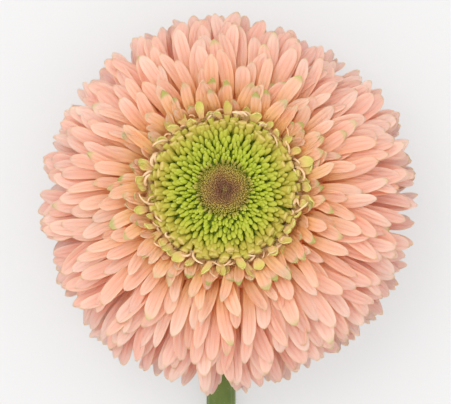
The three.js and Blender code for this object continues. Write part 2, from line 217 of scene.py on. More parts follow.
@dataclass
class PieceMesh:
    """The points, faces, bake map and point values of one piece, gathered before Blender gets them."""

    points: list[Array] = field(default_factory=list)
    faces: list[Array] = field(default_factory=list)
    corners: list[Array] = field(default_factory=list)
    values: dict[PointValue, list[Array]] = field(default_factory=dict)
    soft: list[Array] = field(default_factory=list)
    count: int = 0

    def add(self, points: Array, faces: list[Array], values: dict[PointValue, Array],
            corners: list[Array] | None = None, crisp: int | None = None) -> None:
        """Takes in one batch of geometry.

        Args:
            points: The points, in millimetres, in the flower's frame.
            faces: Arrays of quads or triangles, which count from the batch's first point.
            values: Numbers that fit the points, for each value carried.
            corners: The bake map's place of each corner, for each array of faces.
            crisp: Which of the arrays of faces is shaded flat, if any.
        """
        self.soft += [np.full(len(f), part != crisp) for part, f in enumerate(faces)]
        self.points.append(points.reshape(-1, 3))
        self.faces += [f + self.count for f in faces]
        self.corners += corners or []
        for key in PointValue:
            numbers = np.broadcast_to(values.get(key, 0.0), points.shape[:-1])
            self.values.setdefault(key, []).append(numbers.reshape(-1))
        self.count += self.points[-1].shape[0]

    def build(self, name: str, material: bpy.types.Material, slot: str, replaces: str) -> None:
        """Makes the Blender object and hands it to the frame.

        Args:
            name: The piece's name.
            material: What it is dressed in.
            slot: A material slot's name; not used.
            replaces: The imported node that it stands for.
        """
        mesh = bpy.data.meshes.new(name)
        sizes = np.concatenate([np.full(len(f), f.shape[1]) for f in self.faces])
        flat = np.concatenate([f.reshape(-1) for f in self.faces])
        mesh.vertices.add(self.count)
        mesh.vertices.foreach_set("co", (np.concatenate(self.points) * MM).astype(np.float32).reshape(-1))
        mesh.loops.add(len(flat))
        mesh.loops.foreach_set("vertex_index", flat.astype(np.int32))
        mesh.polygons.add(len(sizes))
        mesh.polygons.foreach_set("loop_start", (np.cumsum(sizes) - sizes).astype(np.int32))
        mesh.update(calc_edges=True)
        mesh.polygons.foreach_set("use_smooth", np.concatenate(self.soft))
        for key, numbers in self.values.items():
            layer = mesh.attributes.new(key.value, "FLOAT", "POINT")
            layer.data.foreach_set("value", np.concatenate(numbers).astype(np.float32))
        if self.corners:
            places = np.concatenate([c.reshape(-1) for c in self.corners])
            mesh.uv_layers.new(name=BAKE_MAP).data.foreach_set("uv", places.astype(np.float32))
        mesh.validate()
        mesh.materials.append(material)
        piece = bpy.data.objects.new(name, mesh)
        bpy.context.scene.collection.objects.link(piece)
        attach(piece, BODY)
        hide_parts(replaces)
        LOG.info("%s: %d faces", name, len(mesh.polygons))


def ring_faces(rings: int, sides: int) -> list[Array]:
    """Makes the faces of a closed body of rings of points, with a fan over each end.

    Args:
        rings: How many rings the body has.
        sides: How many points a ring has.

    Returns:
        Quads, and the triangles of the two ends, whose middles are the last two points.
    """
    i, k = np.meshgrid(np.arange(rings - 1), np.arange(sides), indexing="ij")
    low, high, after = i * sides, (i + 1) * sides, (k + 1) % sides
    quads = np.stack([low + k, low + after, high + after, high + k], axis=-1)
    k, after, last, middle = k[0], after[0], (rings - 1) * sides, rings * sides
    bottom = np.stack([after, k, np.full(sides, middle)], axis=-1)
    top = np.stack([last + k, last + after, np.full(sides, middle + 1)], axis=-1)
    return [quads.reshape(-1, 4), np.concatenate([bottom, top])]


def repeated(faces: Array, copies: int, stride: int) -> Array:
    """The faces of like bodies, whose points follow each other at a stride."""
    offsets = (np.arange(copies) * stride)[:, None, None]
    return (faces[None] + offsets).reshape(-1, faces.shape[1])


@dataclass
class Rounds:
    """A batch of closed bodies of rings, such as buds, tubes and hairs."""

    rings: Array  # [body, ring, side, xyz] in the flower's frame
    values: dict[PointValue, Array | float] = field(default_factory=lambda: {PointValue.SEED: 0.5})

    def add_to(self, piece: PieceMesh) -> None:
        """Adds the bodies to a piece.

        Args:
            piece: Where they go.
        """
        bodies, ring_count, sides, _ = self.rings.shape
        middles = self.rings[:, [0, -1]].mean(axis=2)
        points = np.concatenate([self.rings.reshape(bodies, -1, 3), middles], axis=1)
        spread = {}
        for key, numbers in self.values.items():
            full = np.broadcast_to(numbers, (bodies, ring_count))
            spread[key] = np.concatenate([np.repeat(full, sides, axis=1), full[:, [0, -1]]], axis=1)
        faces = [repeated(f, bodies, points.shape[1]) for f in ring_faces(ring_count, sides)]
        piece.add(points, faces, spread)


# ---- Blades: petals, lips and bracts ----


@dataclass(frozen=True)
class Outline:
    """A blade's outline and relief, as shares of its length and width."""

    base: float = 0.52  # width at the root
    widest: float = 0.72  # where it has widened fully
    cap_start: float = 0.81  # where it begins to narrow to the tip
    cap_depth: float = 0.88  # 1 narrows to a point
    tip_round: float = 0.026  # how far the tip stands before its corners
    notch: float = 0.006  # depth of the two notches in the tip
    groove: float = 0.11  # depth of the two grooves, over the half width
    keel: float = 0.35  # height of the ridge between them, over their depth
    keel_width: float = 0.2
    thickness: float = 0.36  # millimetres in the middle
    columns: tuple[float, ...] = (0, 0.22, 0.34, 0.46, 0.72, 0.92, 1)
    rows: int = 17
    crowding: float = 0.6  # how much closer the rows stand at the tip than at the root

    def along(self) -> Array:
        """The rows' places from root to tip."""
        even = np.linspace(0, 1, self.rows)
        return even * (1 + self.crowding * (1 - even))

    def across(self) -> Array:
        """The columns' places from edge to edge."""
        right = np.array(self.columns)
        return np.concatenate([-right[:0:-1], right])

    def width(self, along: Array) -> Array:
        """The share of the full width at a share of the length."""
        into_cap = np.clip((along - self.cap_start) / (1 - self.cap_start), 0, 1)
        return blend(self.base, 1, smooth(along, 0, self.widest)) * np.sqrt(1 - self.cap_depth * into_cap**2)


@dataclass
class Blades:
    """A batch of blades, one number each: where they spring from, where their tips go and how they bend."""

    root: Array  # [blade, (radius, height)] in the head's frame
    tip: Array
    rise: Array  # radians above the head's plane, at the root
    azimuth: Array
    half: Array  # half width
    bow: Array  # radians round the head, from root to tip
    roll: Array  # radians about its own length, from root to tip
    cup: Array  # radians that an edge is turned up against the middle
    curl: Array  # radians that the tip is turned up
    wave: Array  # height of the edges' waves, over the half width
    seed: Array
    tier: Array
    green: Array
    outline: Outline

    def reach(self) -> Array:
        """The straight distance from root to tip."""
        return np.linalg.norm(self.tip - self.root, axis=1)

    def phase(self) -> Array:
        """Where in its waves each blade starts, in radians, as [blade, row, column]."""
        return (self.seed * 40)[:, None, None]

    def spine(self) -> tuple[Array, Array]:
        """Walks each blade's spine in the plane of its radius and height.

        Returns:
            The places as [blade, row, (radius, height)], and the angles above the head's plane.
        """
        share, reach = self.outline.along()[None, :, None], self.reach()
        start = np.stack([np.cos(self.rise), np.sin(self.rise)], axis=1)
        knee = self.root + start * (reach / 2)[:, None]
        root, middle, tip = self.root[:, None], knee[:, None], self.tip[:, None]
        places = (1 - share) ** 2 * root + 2 * share * (1 - share) * middle + share**2 * tip
        heading = (1 - share) * (middle - root) + share * (tip - middle)
        angle = np.arctan2(heading[..., 1], heading[..., 0])
        curling = smooth(share[..., 0], 0.62, 1.02) ** 1.5
        curled = angle + self.curl[:, None] * curling
        step = reach[:, None] * np.diff(share[..., 0], prepend=0)
        offset = np.stack([np.cos(curled) - np.cos(angle), np.sin(curled) - np.sin(angle)], axis=-1)
        return places + np.cumsum(offset * step[..., None], axis=1), curled

    def sections(self) -> tuple[Array, Array]:
        """Works out the cross-sections: cupped, grooved, and waved along their edges.

        Returns:
            How far each point is to the side of the spine and above it, as [blade, row, column].
        """
        shape, flattest = self.outline, 1e-3
        along, across = shape.along()[None, :, None], shape.across()[None, None, :]
        half = self.half[:, None, None] * shape.width(along)
        cup = self.cup[:, None, None] * smooth(along, 0.05, 0.5)
        cup = np.where(np.abs(cup) < flattest, flattest, cup)
        height = half * (1 - np.cos(cup * across)) / cup
        keel = shape.keel * ridge(across, 0, shape.keel_width)
        lines = ridge(np.abs(across), GROOVE_PLACE, GROOVE_WIDTH) - keel
        fading = smooth(along, 0.02, 0.2) * (1 - 0.8 * smooth(along, 0.86, 1))
        height = height - shape.groove * half * lines * fading
        waves = np.sin(9 * along + self.phase() + 2 * across) * np.abs(across) ** 3
        height = height + self.wave[:, None, None] * half * waves * smooth(along, 0.3, 0.8)
        return half * np.sin(cup * across) / cup, height

    def set_back(self) -> Array:
        """Works out how far the rounded and notched tip takes each point back.

        Returns:
            The distances as [blade, row, column].
        """
        shape = self.outline
        along, across = shape.along()[None, :, None], shape.across()[None, None, :]
        uneven = 1 + 0.4 * np.sin(self.phase() + 5 * across)
        notches = shape.notch * uneven * ridge(np.abs(across), GROOVE_PLACE, GROOVE_WIDTH)
        back = shape.tip_round * np.abs(across) ** 2.3 + notches
        return back * self.reach()[:, None, None] * smooth(along, 0.6, 1)

    def faces_of(self) -> tuple[Array, Array]:
        """Works out the points of the upper and lower faces.

        Returns:
            Both as [blade, row, column, xyz], in the flower's frame.
        """
        along, across = self.outline.along()[None, :], self.outline.across()[None, None, :]
        places, angle = self.spine()
        turn = self.azimuth[:, None] + self.bow[:, None] * along**2
        ahead = polar(np.cos(angle), turn, np.sin(angle))
        out = polar(-np.sin(angle), turn, np.cos(angle))
        side = np.stack([-np.sin(turn), np.cos(turn), np.zeros_like(turn)], axis=-1)
        rolled = (self.roll[:, None] * along)[..., None]
        cos, sin = np.cos(rolled), np.sin(rolled)
        side, out = side * cos + out * sin, out * cos - side * sin
        middle = polar(places[..., 0], turn, places[..., 1])
        sideways, height = self.sections()
        upper = (middle[:, :, None] + side[:, :, None] * sideways[..., None]
                 + out[:, :, None] * height[..., None] - ahead[:, :, None] * self.set_back()[..., None])
        thin_edge = 1 - 0.6 * np.abs(across) ** 5
        thickness = self.outline.thickness * thin_edge * blend(1.3, 0.8, along)[..., None]
        lower = upper - out[:, :, None] * thickness[..., None]
        return self.settled(HEAD.place(upper), HEAD.place(lower))

    def settled(self, upper: Array, lower: Array) -> tuple[Array, Array]:
        """Lays what would reach below the surface or into the stem on top of them.

        Args:
            upper: The upper faces' points.
            lower: The lower faces' points.

        Returns:
            Both, lifted clear.
        """
        softness, lowest, spread = 0.7, 0.15, 1.4
        own = lowest + spread * ((self.seed * 7) % 1)[:, None, None]
        floor = STEM.floor_under(lower) + own
        above = (lower[..., 2] - floor) / softness
        raised = np.zeros_like(upper)
        raised[..., 2] = softness * np.logaddexp(0, above) + floor - lower[..., 2]
        return upper + raised, lower + raised

    def add_to(self, piece: PieceMesh) -> None:
        """Adds the blades to a piece, each face with a place of its own in the bake map.

        Args:
            piece: Where they go.
        """
        upper, lower = self.faces_of()
        count, rows, columns, _ = upper.shape
        size = rows * columns
        grid = np.arange(size).reshape(rows, columns)
        quads = np.stack([grid[:-1, :-1], grid[1:, :-1], grid[1:, 1:], grid[:-1, 1:]], axis=-1).reshape(-1, 4)
        rim = np.concatenate([grid[:, 0], grid[-1, 1:], grid[-2::-1, -1], grid[0, -2:0:-1]])
        after = np.roll(rim, -1)
        faces = [quads, (quads + size)[:, ::-1], np.stack([after, rim, rim + size, after + size], axis=-1)]
        points = np.concatenate([upper.reshape(count, -1, 3), lower.reshape(count, -1, 3)], axis=1)
        along = np.tile(np.repeat(self.outline.along(), columns), 2)
        across = np.tile(self.outline.across(), 2 * rows)
        values = {
            PointValue.ALONG: along, PointValue.ACROSS: across, PointValue.UNDER: np.repeat([0.0, 1.0], size),
            PointValue.SEED: self.seed[:, None], PointValue.TIER: self.tier[:, None],
            PointValue.GREEN: self.green[:, None],
        }
        corners = self.bake_corners(across, along, faces, count)
        piece.add(points, [repeated(f, count, 2 * size) for f in faces], values, corners, BladeFace.RIM)

    @staticmethod
    def bake_corners(across: Array, along: Array, faces: list[Array], count: int) -> list[Array]:
        """Gives each blade's upper and lower face a cell of the bake map, with its rim in the cell's margin.

        Args:
            across: Each point's place from edge to edge.
            along: Each point's place from root to tip.
            faces: One blade's upper, lower and rim faces.
            count: How many blades share the map.

        Returns:
            The corners' places, for each array of faces of the whole batch.
        """
        margin, slimness, last = 0.08, 4, 0.99
        wide = math.ceil(math.sqrt(2 * count * slimness))
        high = math.ceil(2 * count / wide)
        local = margin + (1 - 2 * margin) * np.stack([(across + 1) / 2, along], axis=-1)
        ends = (along > last) - 1.0 * (along < 1 - last)
        outward = np.stack([np.sign(across) * (np.abs(across) > last), ends], axis=-1)
        corners = []
        for part, quads in enumerate(faces):
            place = local[quads]
            if part == BladeFace.RIM:
                place[:, 2:] = place[:, 2:] + 0.6 * margin * outward[quads[:, 2:]]
            cell = np.arange(count) * 2 + (part == BladeFace.LOWER)
            origin = np.stack([cell % wide, cell // wide], axis=-1)[:, None, None]
            corners.append(((place[None] + origin) / np.array([wide, high])).reshape(-1, 2))
        return corners


Shape = Rounds | Blades


# ---- Materials ----


class Nodes:
    """A node tree being drawn up."""

    def __init__(self, tree: bpy.types.NodeTree) -> None:
        """Starts on a material's or a group's tree."""
        self.tree = tree

    def add(self, kind: str, settings: dict | None = None, **inputs: object) -> bpy.types.Node:
        """Adds a node.

        Args:
            kind: The node's type, without "ShaderNode".
            settings: Its properties.
            **inputs: Its inputs, with _ for each space, as a value or as the socket that feeds it.

        Returns:
            The node.
        """
        node = self.tree.nodes.new("ShaderNode" + kind)
        for key, value in (settings or {}).items():
            setattr(node, key, value)
        for key, value in inputs.items():
            self.feed(node.inputs[key.replace("_", " ")], value)
        return node

    def feed(self, socket: Socket, value: object) -> None:
        """Sets a socket, or links it.

        Args:
            socket: The input.
            value: A number, a colour or the socket that feeds it.
        """
        if isinstance(value, bpy.types.NodeSocket):
            self.tree.links.new(value, socket)
        elif isinstance(value, tuple) and socket.type == "RGBA":
            socket.default_value = (*value[:3], 1.0)
        else:
            socket.default_value = value

    def points(self, *values: PointValue) -> list[Socket]:
        """Reads values that the mesh carries on its points."""
        return [self.add("Attribute", {"attribute_name": value.value}).outputs["Fac"] for value in values]

    def math(self, operation: str, *numbers: object) -> Socket:
        """Works out a number.

        Args:
            operation: The Math node's operation.
            *numbers: Its inputs in order.

        Returns:
            The result.
        """
        node = self.add("Math", {"operation": operation})
        for socket, number in zip(node.inputs, numbers):
            self.feed(socket, number)
        return node.outputs[0]

    def times(self, first: object, second: object) -> Socket:
        """Multiplies two numbers."""
        return self.math("MULTIPLY", first, second)

    def line(self, value: object, slope: float, start: object) -> Socket:
        """Multiplies a number by a slope and adds what the line starts at."""
        return self.math("MULTIPLY_ADD", value, slope, start)

    def rest(self, share: object) -> Socket:
        """What a share leaves of 1."""
        return self.math("SUBTRACT", 1.0, share)

    def redrawn(self, seed: object, factor: float) -> Socket:
        """Makes another random share out of one."""
        return self.math("FRACT", self.times(seed, factor))

    def band(self, value: object, low: float, high: float, top: float = 1.0) -> Socket:
        """Eases a value from 0 at low to top at high."""
        return self.add("MapRange", {"interpolation_type": "SMOOTHSTEP"}, Value=value, From_Min=low,
                        From_Max=high, To_Min=0.0, To_Max=top).outputs["Result"]

    def tint(self, colour: object, target: object, share: object, strength: float = 1.0,
             how: str = "MIX") -> Socket:
        """Takes a colour some way towards another.

        Args:
            colour: A colour or its socket.
            target: The other one.
            share: How far, where it is wholly tinted 1.
            strength: What the share is multiplied by.
            how: The Mix node's blend type.

        Returns:
            The tinted colour.
        """
        node = self.add("Mix", {"data_type": "RGBA", "blend_type": how})
        reached = share if strength == 1.0 else self.times(share, strength)
        for index, value in zip(MIX_INPUTS, (reached, colour, target)):
            self.feed(node.inputs[index], value)
        return node.outputs[MIX_RESULT]

    def ramp(self, value: object, stops: Stops) -> Socket:
        """Reads a colour off a ramp.

        Args:
            value: Where on the ramp.
            stops: Its places and colours.

        Returns:
            The colour.
        """
        node = self.add("ValToRGB", Fac=value)
        elements = node.color_ramp.elements
        elements[0].position, elements[-1].position = stops[0][0], stops[-1][0]
        for place, _ in stops[1:-1]:
            elements.new(place)
        for element, (_, colour) in zip(elements, stops):
            element.color = (*colour, 1.0)
        return node.outputs["Color"]

    def noise(self, vector: object, detail: float = 3.0) -> Socket:
        """Reads a noise pattern from 0 to 1, about one blotch to each unit of the vector."""
        return self.add("TexNoise", Vector=vector, Scale=1.0, Detail=detail).outputs["Fac"]

    def scaled(self, vector: object, scale: object) -> Socket:
        """Multiplies a vector by a number."""
        return self.add("VectorMath", {"operation": "SCALE"}, Vector=vector, Scale=scale).outputs[0]

    def place(self) -> Socket:
        """The place on the object, in metres."""
        return self.add("TexCoord").outputs["Object"]

    def group(self, tree: bpy.types.NodeTree, **inputs: object) -> dict[str, Socket]:
        """Places a node group, and gives its outputs by name."""
        return dict(self.add("Group", {"node_tree": tree}, **inputs).outputs.items())


class Effects:
    """The effects that several materials share, each built once as a node group."""

    def __init__(self) -> None:
        """Builds every group."""
        self.streaks = self.build_streaks()
        self.mottle = self.build_mottle()
        self.edges = self.build_edges()

    @staticmethod
    def start(name: str, inputs: dict[str, float], outputs: tuple[str, ...]) -> tuple[Nodes, dict, dict]:
        """Starts a node group.

        Args:
            name: The group's name.
            inputs: Its inputs and their values.
            outputs: Its outputs.

        Returns:
            Its nodes, and the sockets by name that its inputs come from and its outputs go to.
        """
        tree = bpy.data.node_groups.new(name, "ShaderNodeTree")
        for key, value in inputs.items():
            socket = tree.interface.new_socket(key, in_out="INPUT", socket_type="NodeSocketFloat")
            socket.default_value = value
        for key in outputs:
            tree.interface.new_socket(key, in_out="OUTPUT", socket_type="NodeSocketFloat")
        taken, given = tree.nodes.new("NodeGroupInput").outputs, tree.nodes.new("NodeGroupOutput").inputs
        return Nodes(tree), dict(taken.items()), dict(given.items())

    def build_streaks(self) -> bpy.types.NodeTree:
        """Draws fine lines that run along a blade, no two blades alike; on the petals they also carry a
        painted sheen.

        Returns:
            The group.
        """
        values = {"Along": 0.0, "Across": 0.0, "Seed": 0.0, "Density": 9.0}
        nodes, taken, given = self.start("fibre_and_sheen_streaks", values, ("Streak", "Height"))
        apart, length = 53.0, 2.2
        shifted = nodes.line(taken["Seed"], apart, nodes.times(taken["Across"], taken["Density"]))
        where = nodes.add("CombineXYZ", X=shifted, Y=nodes.times(taken["Along"], length), Z=taken["Seed"])
        coarse = nodes.noise(where.outputs[0])
        finer = nodes.noise(nodes.scaled(where.outputs[0], 2.6), detail=2.0)
        nodes.feed(given["Streak"], nodes.band(coarse, 0.32, 0.7))
        nodes.feed(given["Height"], nodes.math("ADD", coarse, nodes.times(finer, 0.5)))
        return nodes.tree

    def build_mottle(self) -> bpy.types.NodeTree:
        """Draws soft patches and a fine grain in the object's own space.

        Returns:
            The group.
        """
        values = {"Patch Size": 0.004, "Grain Size": 0.0003}
        nodes, taken, given = self.start("mottle", values, ("Patch", "Grain"))
        for key in ("Patch", "Grain"):
            scale = nodes.math("DIVIDE", 1.0, taken[key + " Size"])
            nodes.feed(given[key], nodes.noise(nodes.scaled(nodes.place(), scale)))
        return nodes.tree

    def build_edges(self) -> bpy.types.NodeTree:
        """Finds a blade's thin edge, how near its tip a point is, and where its two grooves run.

        Returns:
            The group.
        """
        values = {"Along": 0.0, "Across": 0.0}
        nodes, taken, given = self.start("blade_edges", values, ("Edge", "Tip", "Groove"))
        along, off_middle = taken["Along"], nodes.math("ABSOLUTE", taken["Across"])
        sides = nodes.times(nodes.band(off_middle, 0.82, 1.0), nodes.band(along, 0.35, 0.9))
        nodes.feed(given["Edge"], nodes.math("MAXIMUM", sides, nodes.band(along, 0.96, 1.0)))
        rounded = nodes.line(nodes.math("POWER", off_middle, 2.0), 0.12, along)
        nodes.feed(given["Tip"], nodes.band(rounded, 0.68, 1.06))
        off_groove = nodes.math("ABSOLUTE", nodes.math("SUBTRACT", off_middle, GROOVE_PLACE))
        groove = nodes.rest(nodes.band(off_groove, 0.0, 0.13))
        nodes.feed(given["Groove"], nodes.times(groove, nodes.rest(nodes.band(along, 0.82, 0.98))))
        return nodes.tree


@dataclass(frozen=True)
class Finish:
    """A plant surface, from which the other finishes are made."""

    name: str
    roughness: float = 0.55
    unevenness: float = 0.14  # of the roughness
    specular: float = 0.3
    sheen: float = 0.0
    see_through: float = 0.0  # share of the light that passes through
    glow: Colour = (1.0, 0.95, 0.7)  # how the light that passes through is tinted
    relief: float = 0.15  # millimetres

    def colour(self, nodes: Nodes, effects: Effects) -> tuple[Socket, Socket]:
        """Works out the surface's colour and the height of its fine relief.

        Args:
            nodes: The material's nodes.
            effects: The shared groups.

        Returns:
            The colour and the height.
        """
        raise NotImplementedError

    def material(self, effects: Effects) -> bpy.types.Material:
        """Makes the Blender material.

        Args:
            effects: The shared groups.

        Returns:
            The material.
        """
        made = bpy.data.materials.new(self.name)
        made.use_nodes = True
        made.node_tree.nodes.clear()
        nodes = Nodes(made.node_tree)
        colour, height = self.colour(nodes, effects)
        bump = nodes.add("Bump", Strength=1.0, Distance=self.relief * MM, Height=height).outputs[0]
        uneven = nodes.line(height, self.unevenness, self.roughness - self.unevenness / 2)
        surface = nodes.add("BsdfPrincipled", Base_Color=colour, Roughness=uneven, Normal=bump,
                            Specular_IOR_Level=self.specular, Sheen_Weight=self.sheen).outputs[0]
        if self.see_through > 0:
            glow = nodes.tint(colour, self.glow, 1.0, how="MULTIPLY")
            passing = nodes.add("BsdfTranslucent", Color=glow, Normal=bump).outputs[0]
            both = nodes.add("MixShader", Fac=self.see_through)
            nodes.feed(both.inputs[1], surface)
            nodes.feed(both.inputs[2], passing)
            surface = both.outputs[0]
        nodes.add("OutputMaterial", Surface=surface)
        return made


@dataclass(frozen=True)
class PetalFinish(Finish):
    """Peach petals, pinker low on the head, golden at the root, with pale edges and tips and green hooks;
    painted shade darkens their two grooves, and their pale streaks are partly a painted sheen.
    """

    bodies: Stops = (
        (0.0, (0.58, 0.40, 0.41)), (0.22, (0.72, 0.46, 0.45)), (0.42, (0.95, 0.59, 0.51)),
        (0.7, (1.0, 0.67, 0.51)), (1.0, (1.0, 0.73, 0.48)),
    )
    root: Colour = (1.0, 0.70, 0.31)
    tip: Colour = (1.0, 0.91, 0.84)
    flushed: Colour = (1.0, 0.57, 0.41)  # the bodies of some
    faded: Colour = (0.76, 0.62, 0.62)  # the tips of the lowest petals
    # painted shade in the two grooves
    groove: Colour = (0.99, 0.44, 0.25)
    edge: Colour = (1.0, 0.92, 0.76)
    tanned: Colour = (0.90, 0.72, 0.40)  # the edges of some
    hook: Colour = (0.66, 0.70, 0.24)
    under: Colour = (1.0, 0.77, 0.65)

    def colour(self, nodes: Nodes, effects: Effects) -> tuple[Socket, Socket]:
        """Works out the petals' colour and the height of their fine lines.

        Args:
            nodes: The material's nodes.
            effects: The shared groups.

        Returns:
            The colour and the height.
        """
        along, across, seed, tier, green, under = nodes.points(
            PointValue.ALONG, PointValue.ACROSS, PointValue.SEED, PointValue.TIER, PointValue.GREEN,
            PointValue.UNDER)
        streaks = nodes.group(effects.streaks, Along=along, Across=across, Seed=seed, Density=6.0)
        edges = nodes.group(effects.edges, Along=along, Across=across)
        colour = nodes.tint(nodes.ramp(tier, self.bodies), self.flushed, seed, strength=0.6)
        # pale streaks: partly the petals' own fine lines, partly a painted sheen
        colour = nodes.tint(colour, self.tip, streaks["Streak"], strength=0.3)
        pale = nodes.times(nodes.redrawn(seed, 7.0), nodes.line(tier, slope=-0.7, start=1.25))
        colour = nodes.tint(colour, self.tip, nodes.math("POWER", pale, 2.5), strength=0.45)
        whitened = nodes.times(edges["Tip"], nodes.line(pale, slope=0.65, start=0.25))
        colour = nodes.tint(colour, self.tip, whitened)
        low = nodes.rest(nodes.band(tier, 0.3, 0.62))
        colour = nodes.tint(colour, self.faded, nodes.times(edges["Tip"], low), strength=0.7)
        reach = nodes.line(tier, slope=0.44, start=0.24)
        near_root = nodes.rest(nodes.band(nodes.math("DIVIDE", along, reach), 0.4, 1.25))
        golden = nodes.times(near_root, nodes.line(tier, slope=0.8, start=0.15))
        colour = nodes.tint(colour, self.root, golden)
        # painted shade: the two grooves darkened to a deeper orange
        colour = nodes.tint(colour, self.groove, edges["Groove"], strength=0.26)
        rim = nodes.tint(self.edge, self.tanned, nodes.redrawn(seed, 11.0))
        colour = nodes.tint(colour, rim, edges["Edge"], strength=0.75)
        past = nodes.math("SUBTRACT", along, nodes.line(tier, slope=-0.1, start=0.98))
        colour = nodes.tint(colour, self.hook, nodes.times(green, nodes.band(past, 0.0, 0.09)))
        beneath = nodes.times(under, nodes.line(tier, slope=-0.35, start=0.55))
        return nodes.tint(colour, self.under, beneath), streaks["Height"]


@dataclass(frozen=True)
class BladeFinish(Finish):
    """Streaked blades and threads, such as bracts, lips and filaments, with paler edges."""

    root: Colour = (0.14, 0.23, 0.06)
    tip: Colour = (0.30, 0.30, 0.10)
    edge: Colour = (0.35, 0.36, 0.14)

    def colour(self, nodes: Nodes, effects: Effects) -> tuple[Socket, Socket]:
        """Works out the blades' colour and the height of their fine lines.

        Args:
            nodes: The material's nodes.
            effects: The shared groups.

        Returns:
            The colour and the height.
        """
        along, across, seed = nodes.points(PointValue.ALONG, PointValue.ACROSS, PointValue.SEED)
        streaks = nodes.group(effects.streaks, Along=along, Across=across, Seed=seed)
        edges = nodes.group(effects.edges, Along=along, Across=across)
        colour = nodes.tint(self.root, self.tip, nodes.band(along, 0.15, 0.9))
        colour = nodes.tint(colour, self.edge, streaks["Streak"], strength=0.25)
        colour = nodes.tint(colour, self.edge, edges["Edge"], strength=0.6)
        return nodes.tint(colour, self.root, seed, strength=0.2), streaks["Height"]


@dataclass(frozen=True)
class BudFinish(Finish):
    """Closed florets: painted shade at their feet, where they crowd together, bright at their heads, yellower
    towards the rim.
    """

    # painted shade: the dark colour that each floret's foot is darkened to, where the florets crowd together
    foot_shade: Colour = (0.18, 0.25, 0.008)
    inner: Colour = (0.42, 0.52, 0.018)
    outer: Colour = (0.50, 0.385, 0.045)
    head: Colour = (0.58, 0.62, 0.13)
    crown: Colour = (0.80, 0.56, 0.22)  # the tips of the outermost
    budding: Colour = (0.36, 0.27, 0.06)  # the smallest, against the centre

    def colour(self, nodes: Nodes, effects: Effects) -> tuple[Socket, Socket]:
        """Works out the florets' colour and the height of their grain.

        Args:
            nodes: The material's nodes.
            effects: The shared groups.

        Returns:
            The colour and the height.
        """
        along, tier, seed = nodes.points(PointValue.ALONG, PointValue.TIER, PointValue.SEED)
        patches = nodes.group(effects.mottle, Patch_Size=0.0012, Grain_Size=0.00025)
        colour = nodes.tint(self.budding, self.inner, nodes.band(tier, 0.0, 0.0015))
        colour = nodes.tint(colour, self.outer, tier)
        colour = nodes.tint(colour, self.outer, seed, strength=0.3)
        colour = nodes.tint(colour, self.head, nodes.band(along, 0.86, 1.0, top=0.55))
        crowned = nodes.times(nodes.band(tier, 0.8, 1.4), nodes.band(along, 0.8, 1.0, top=0.8))
        colour = nodes.tint(colour, self.crown, crowned)
        colour = nodes.tint(colour, self.head, patches["Patch"], strength=0.25)
        # painted shade: darker towards each floret's foot
        return nodes.tint(colour, self.foot_shade, nodes.rest(nodes.band(along, 0.0, 0.6))), patches["Grain"]


@dataclass(frozen=True)
class CentreFinish(Finish):
    """The unopened centre: an olive heart, a purple-brown ring and an olive-brown margin, with painted shade
    at the tiny florets' feet.
    """

    rings: Stops = (
        (0.0, (0.46, 0.33, 0.10)), (0.07, (0.34, 0.16, 0.095)), (0.2, (0.25, 0.075, 0.072)),
        (0.36, (0.34, 0.14, 0.08)), (0.6, (0.48, 0.31, 0.085)), (1.0, (0.46, 0.44, 0.06)),
    )
    speck: Colour = (0.50, 0.42, 0.10)
    # painted shade at the tiny florets' feet
    foot_shade: Colour = (0.2, 0.08, 0.05)

    def colour(self, nodes: Nodes, effects: Effects) -> tuple[Socket, Socket]:
        """Works out the tiny florets' colour and the height of their grain.

        Args:
            nodes: The material's nodes.
            effects: The shared groups.

        Returns:
            The colour and the height.
        """
        along, tier, seed = nodes.points(PointValue.ALONG, PointValue.TIER, PointValue.SEED)
        patches = nodes.group(effects.mottle, Patch_Size=0.0035, Grain_Size=0.0002)
        wandering = nodes.line(nodes.math("SUBTRACT", patches["Patch"], 0.5), 0.7, tier)
        tipped = nodes.times(nodes.band(along, 0.6, 1.0), nodes.times(seed, 0.4))
        colour = nodes.tint(nodes.ramp(wandering, self.rings), self.speck, tipped)
        # painted shade: darker towards each tiny floret's foot
        shade = nodes.rest(nodes.band(along, 0.0, 0.7))
        return nodes.tint(colour, self.foot_shade, shade, strength=0.3), patches["Grain"]


@dataclass(frozen=True)
class SkinFinish(Finish):
    """A plain skin, such as the stem's, with soft patches, fine fibres and a grain."""

    body: Colour = (0.13, 0.19, 0.045)
    patch: Colour = (0.17, 0.22, 0.06)
    fineness: Triple = (900.0, 40.0, 900.0)  # fibres to the metre

    def colour(self, nodes: Nodes, effects: Effects) -> tuple[Socket, Socket]:
        """Works out the skin's colour and the height of its fibres and grain.

        Args:
            nodes: The material's nodes.
            effects: The shared groups.

        Returns:
            The colour and the height.
        """
        patches = nodes.group(effects.mottle, Patch_Size=0.006, Grain_Size=0.0004)
        colour = nodes.tint(self.body, self.patch, nodes.band(patches["Patch"], 0.35, 0.65))
        lines = nodes.add("Mapping", {"vector_type": "POINT"}, Vector=nodes.place(), Scale=self.fineness)
        fibres = nodes.noise(lines.outputs[0])
        colour = nodes.tint(colour, self.patch, nodes.band(fibres, 0.5, 0.75, top=0.35))
        return colour, nodes.math("ADD", patches["Grain"], nodes.times(fibres, 0.7))


@dataclass(frozen=True)
class SurfaceFinish(Finish):
    """The pale surface that the flower lies on, lit a little from below."""

    pale: float = 0.35
    lit: float = 0.45

    def material(self, effects: Effects) -> bpy.types.Material:
        """Makes the Blender material.

        Args:
            effects: The shared groups, none of which it needs.

        Returns:
            The material.
        """
        made = bpy.data.materials.new(self.name)
        made.use_nodes = True
        inputs = made.node_tree.nodes["Principled BSDF"].inputs
        inputs["Base Color"].default_value = (self.pale, self.pale, self.pale, 1)
        inputs["Roughness"].default_value = self.roughness
        inputs["Specular IOR Level"].default_value = self.specular
        inputs["Emission Color"].default_value = (1, 1, 1, 1)
        inputs["Emission Strength"].default_value = self.lit
        return made


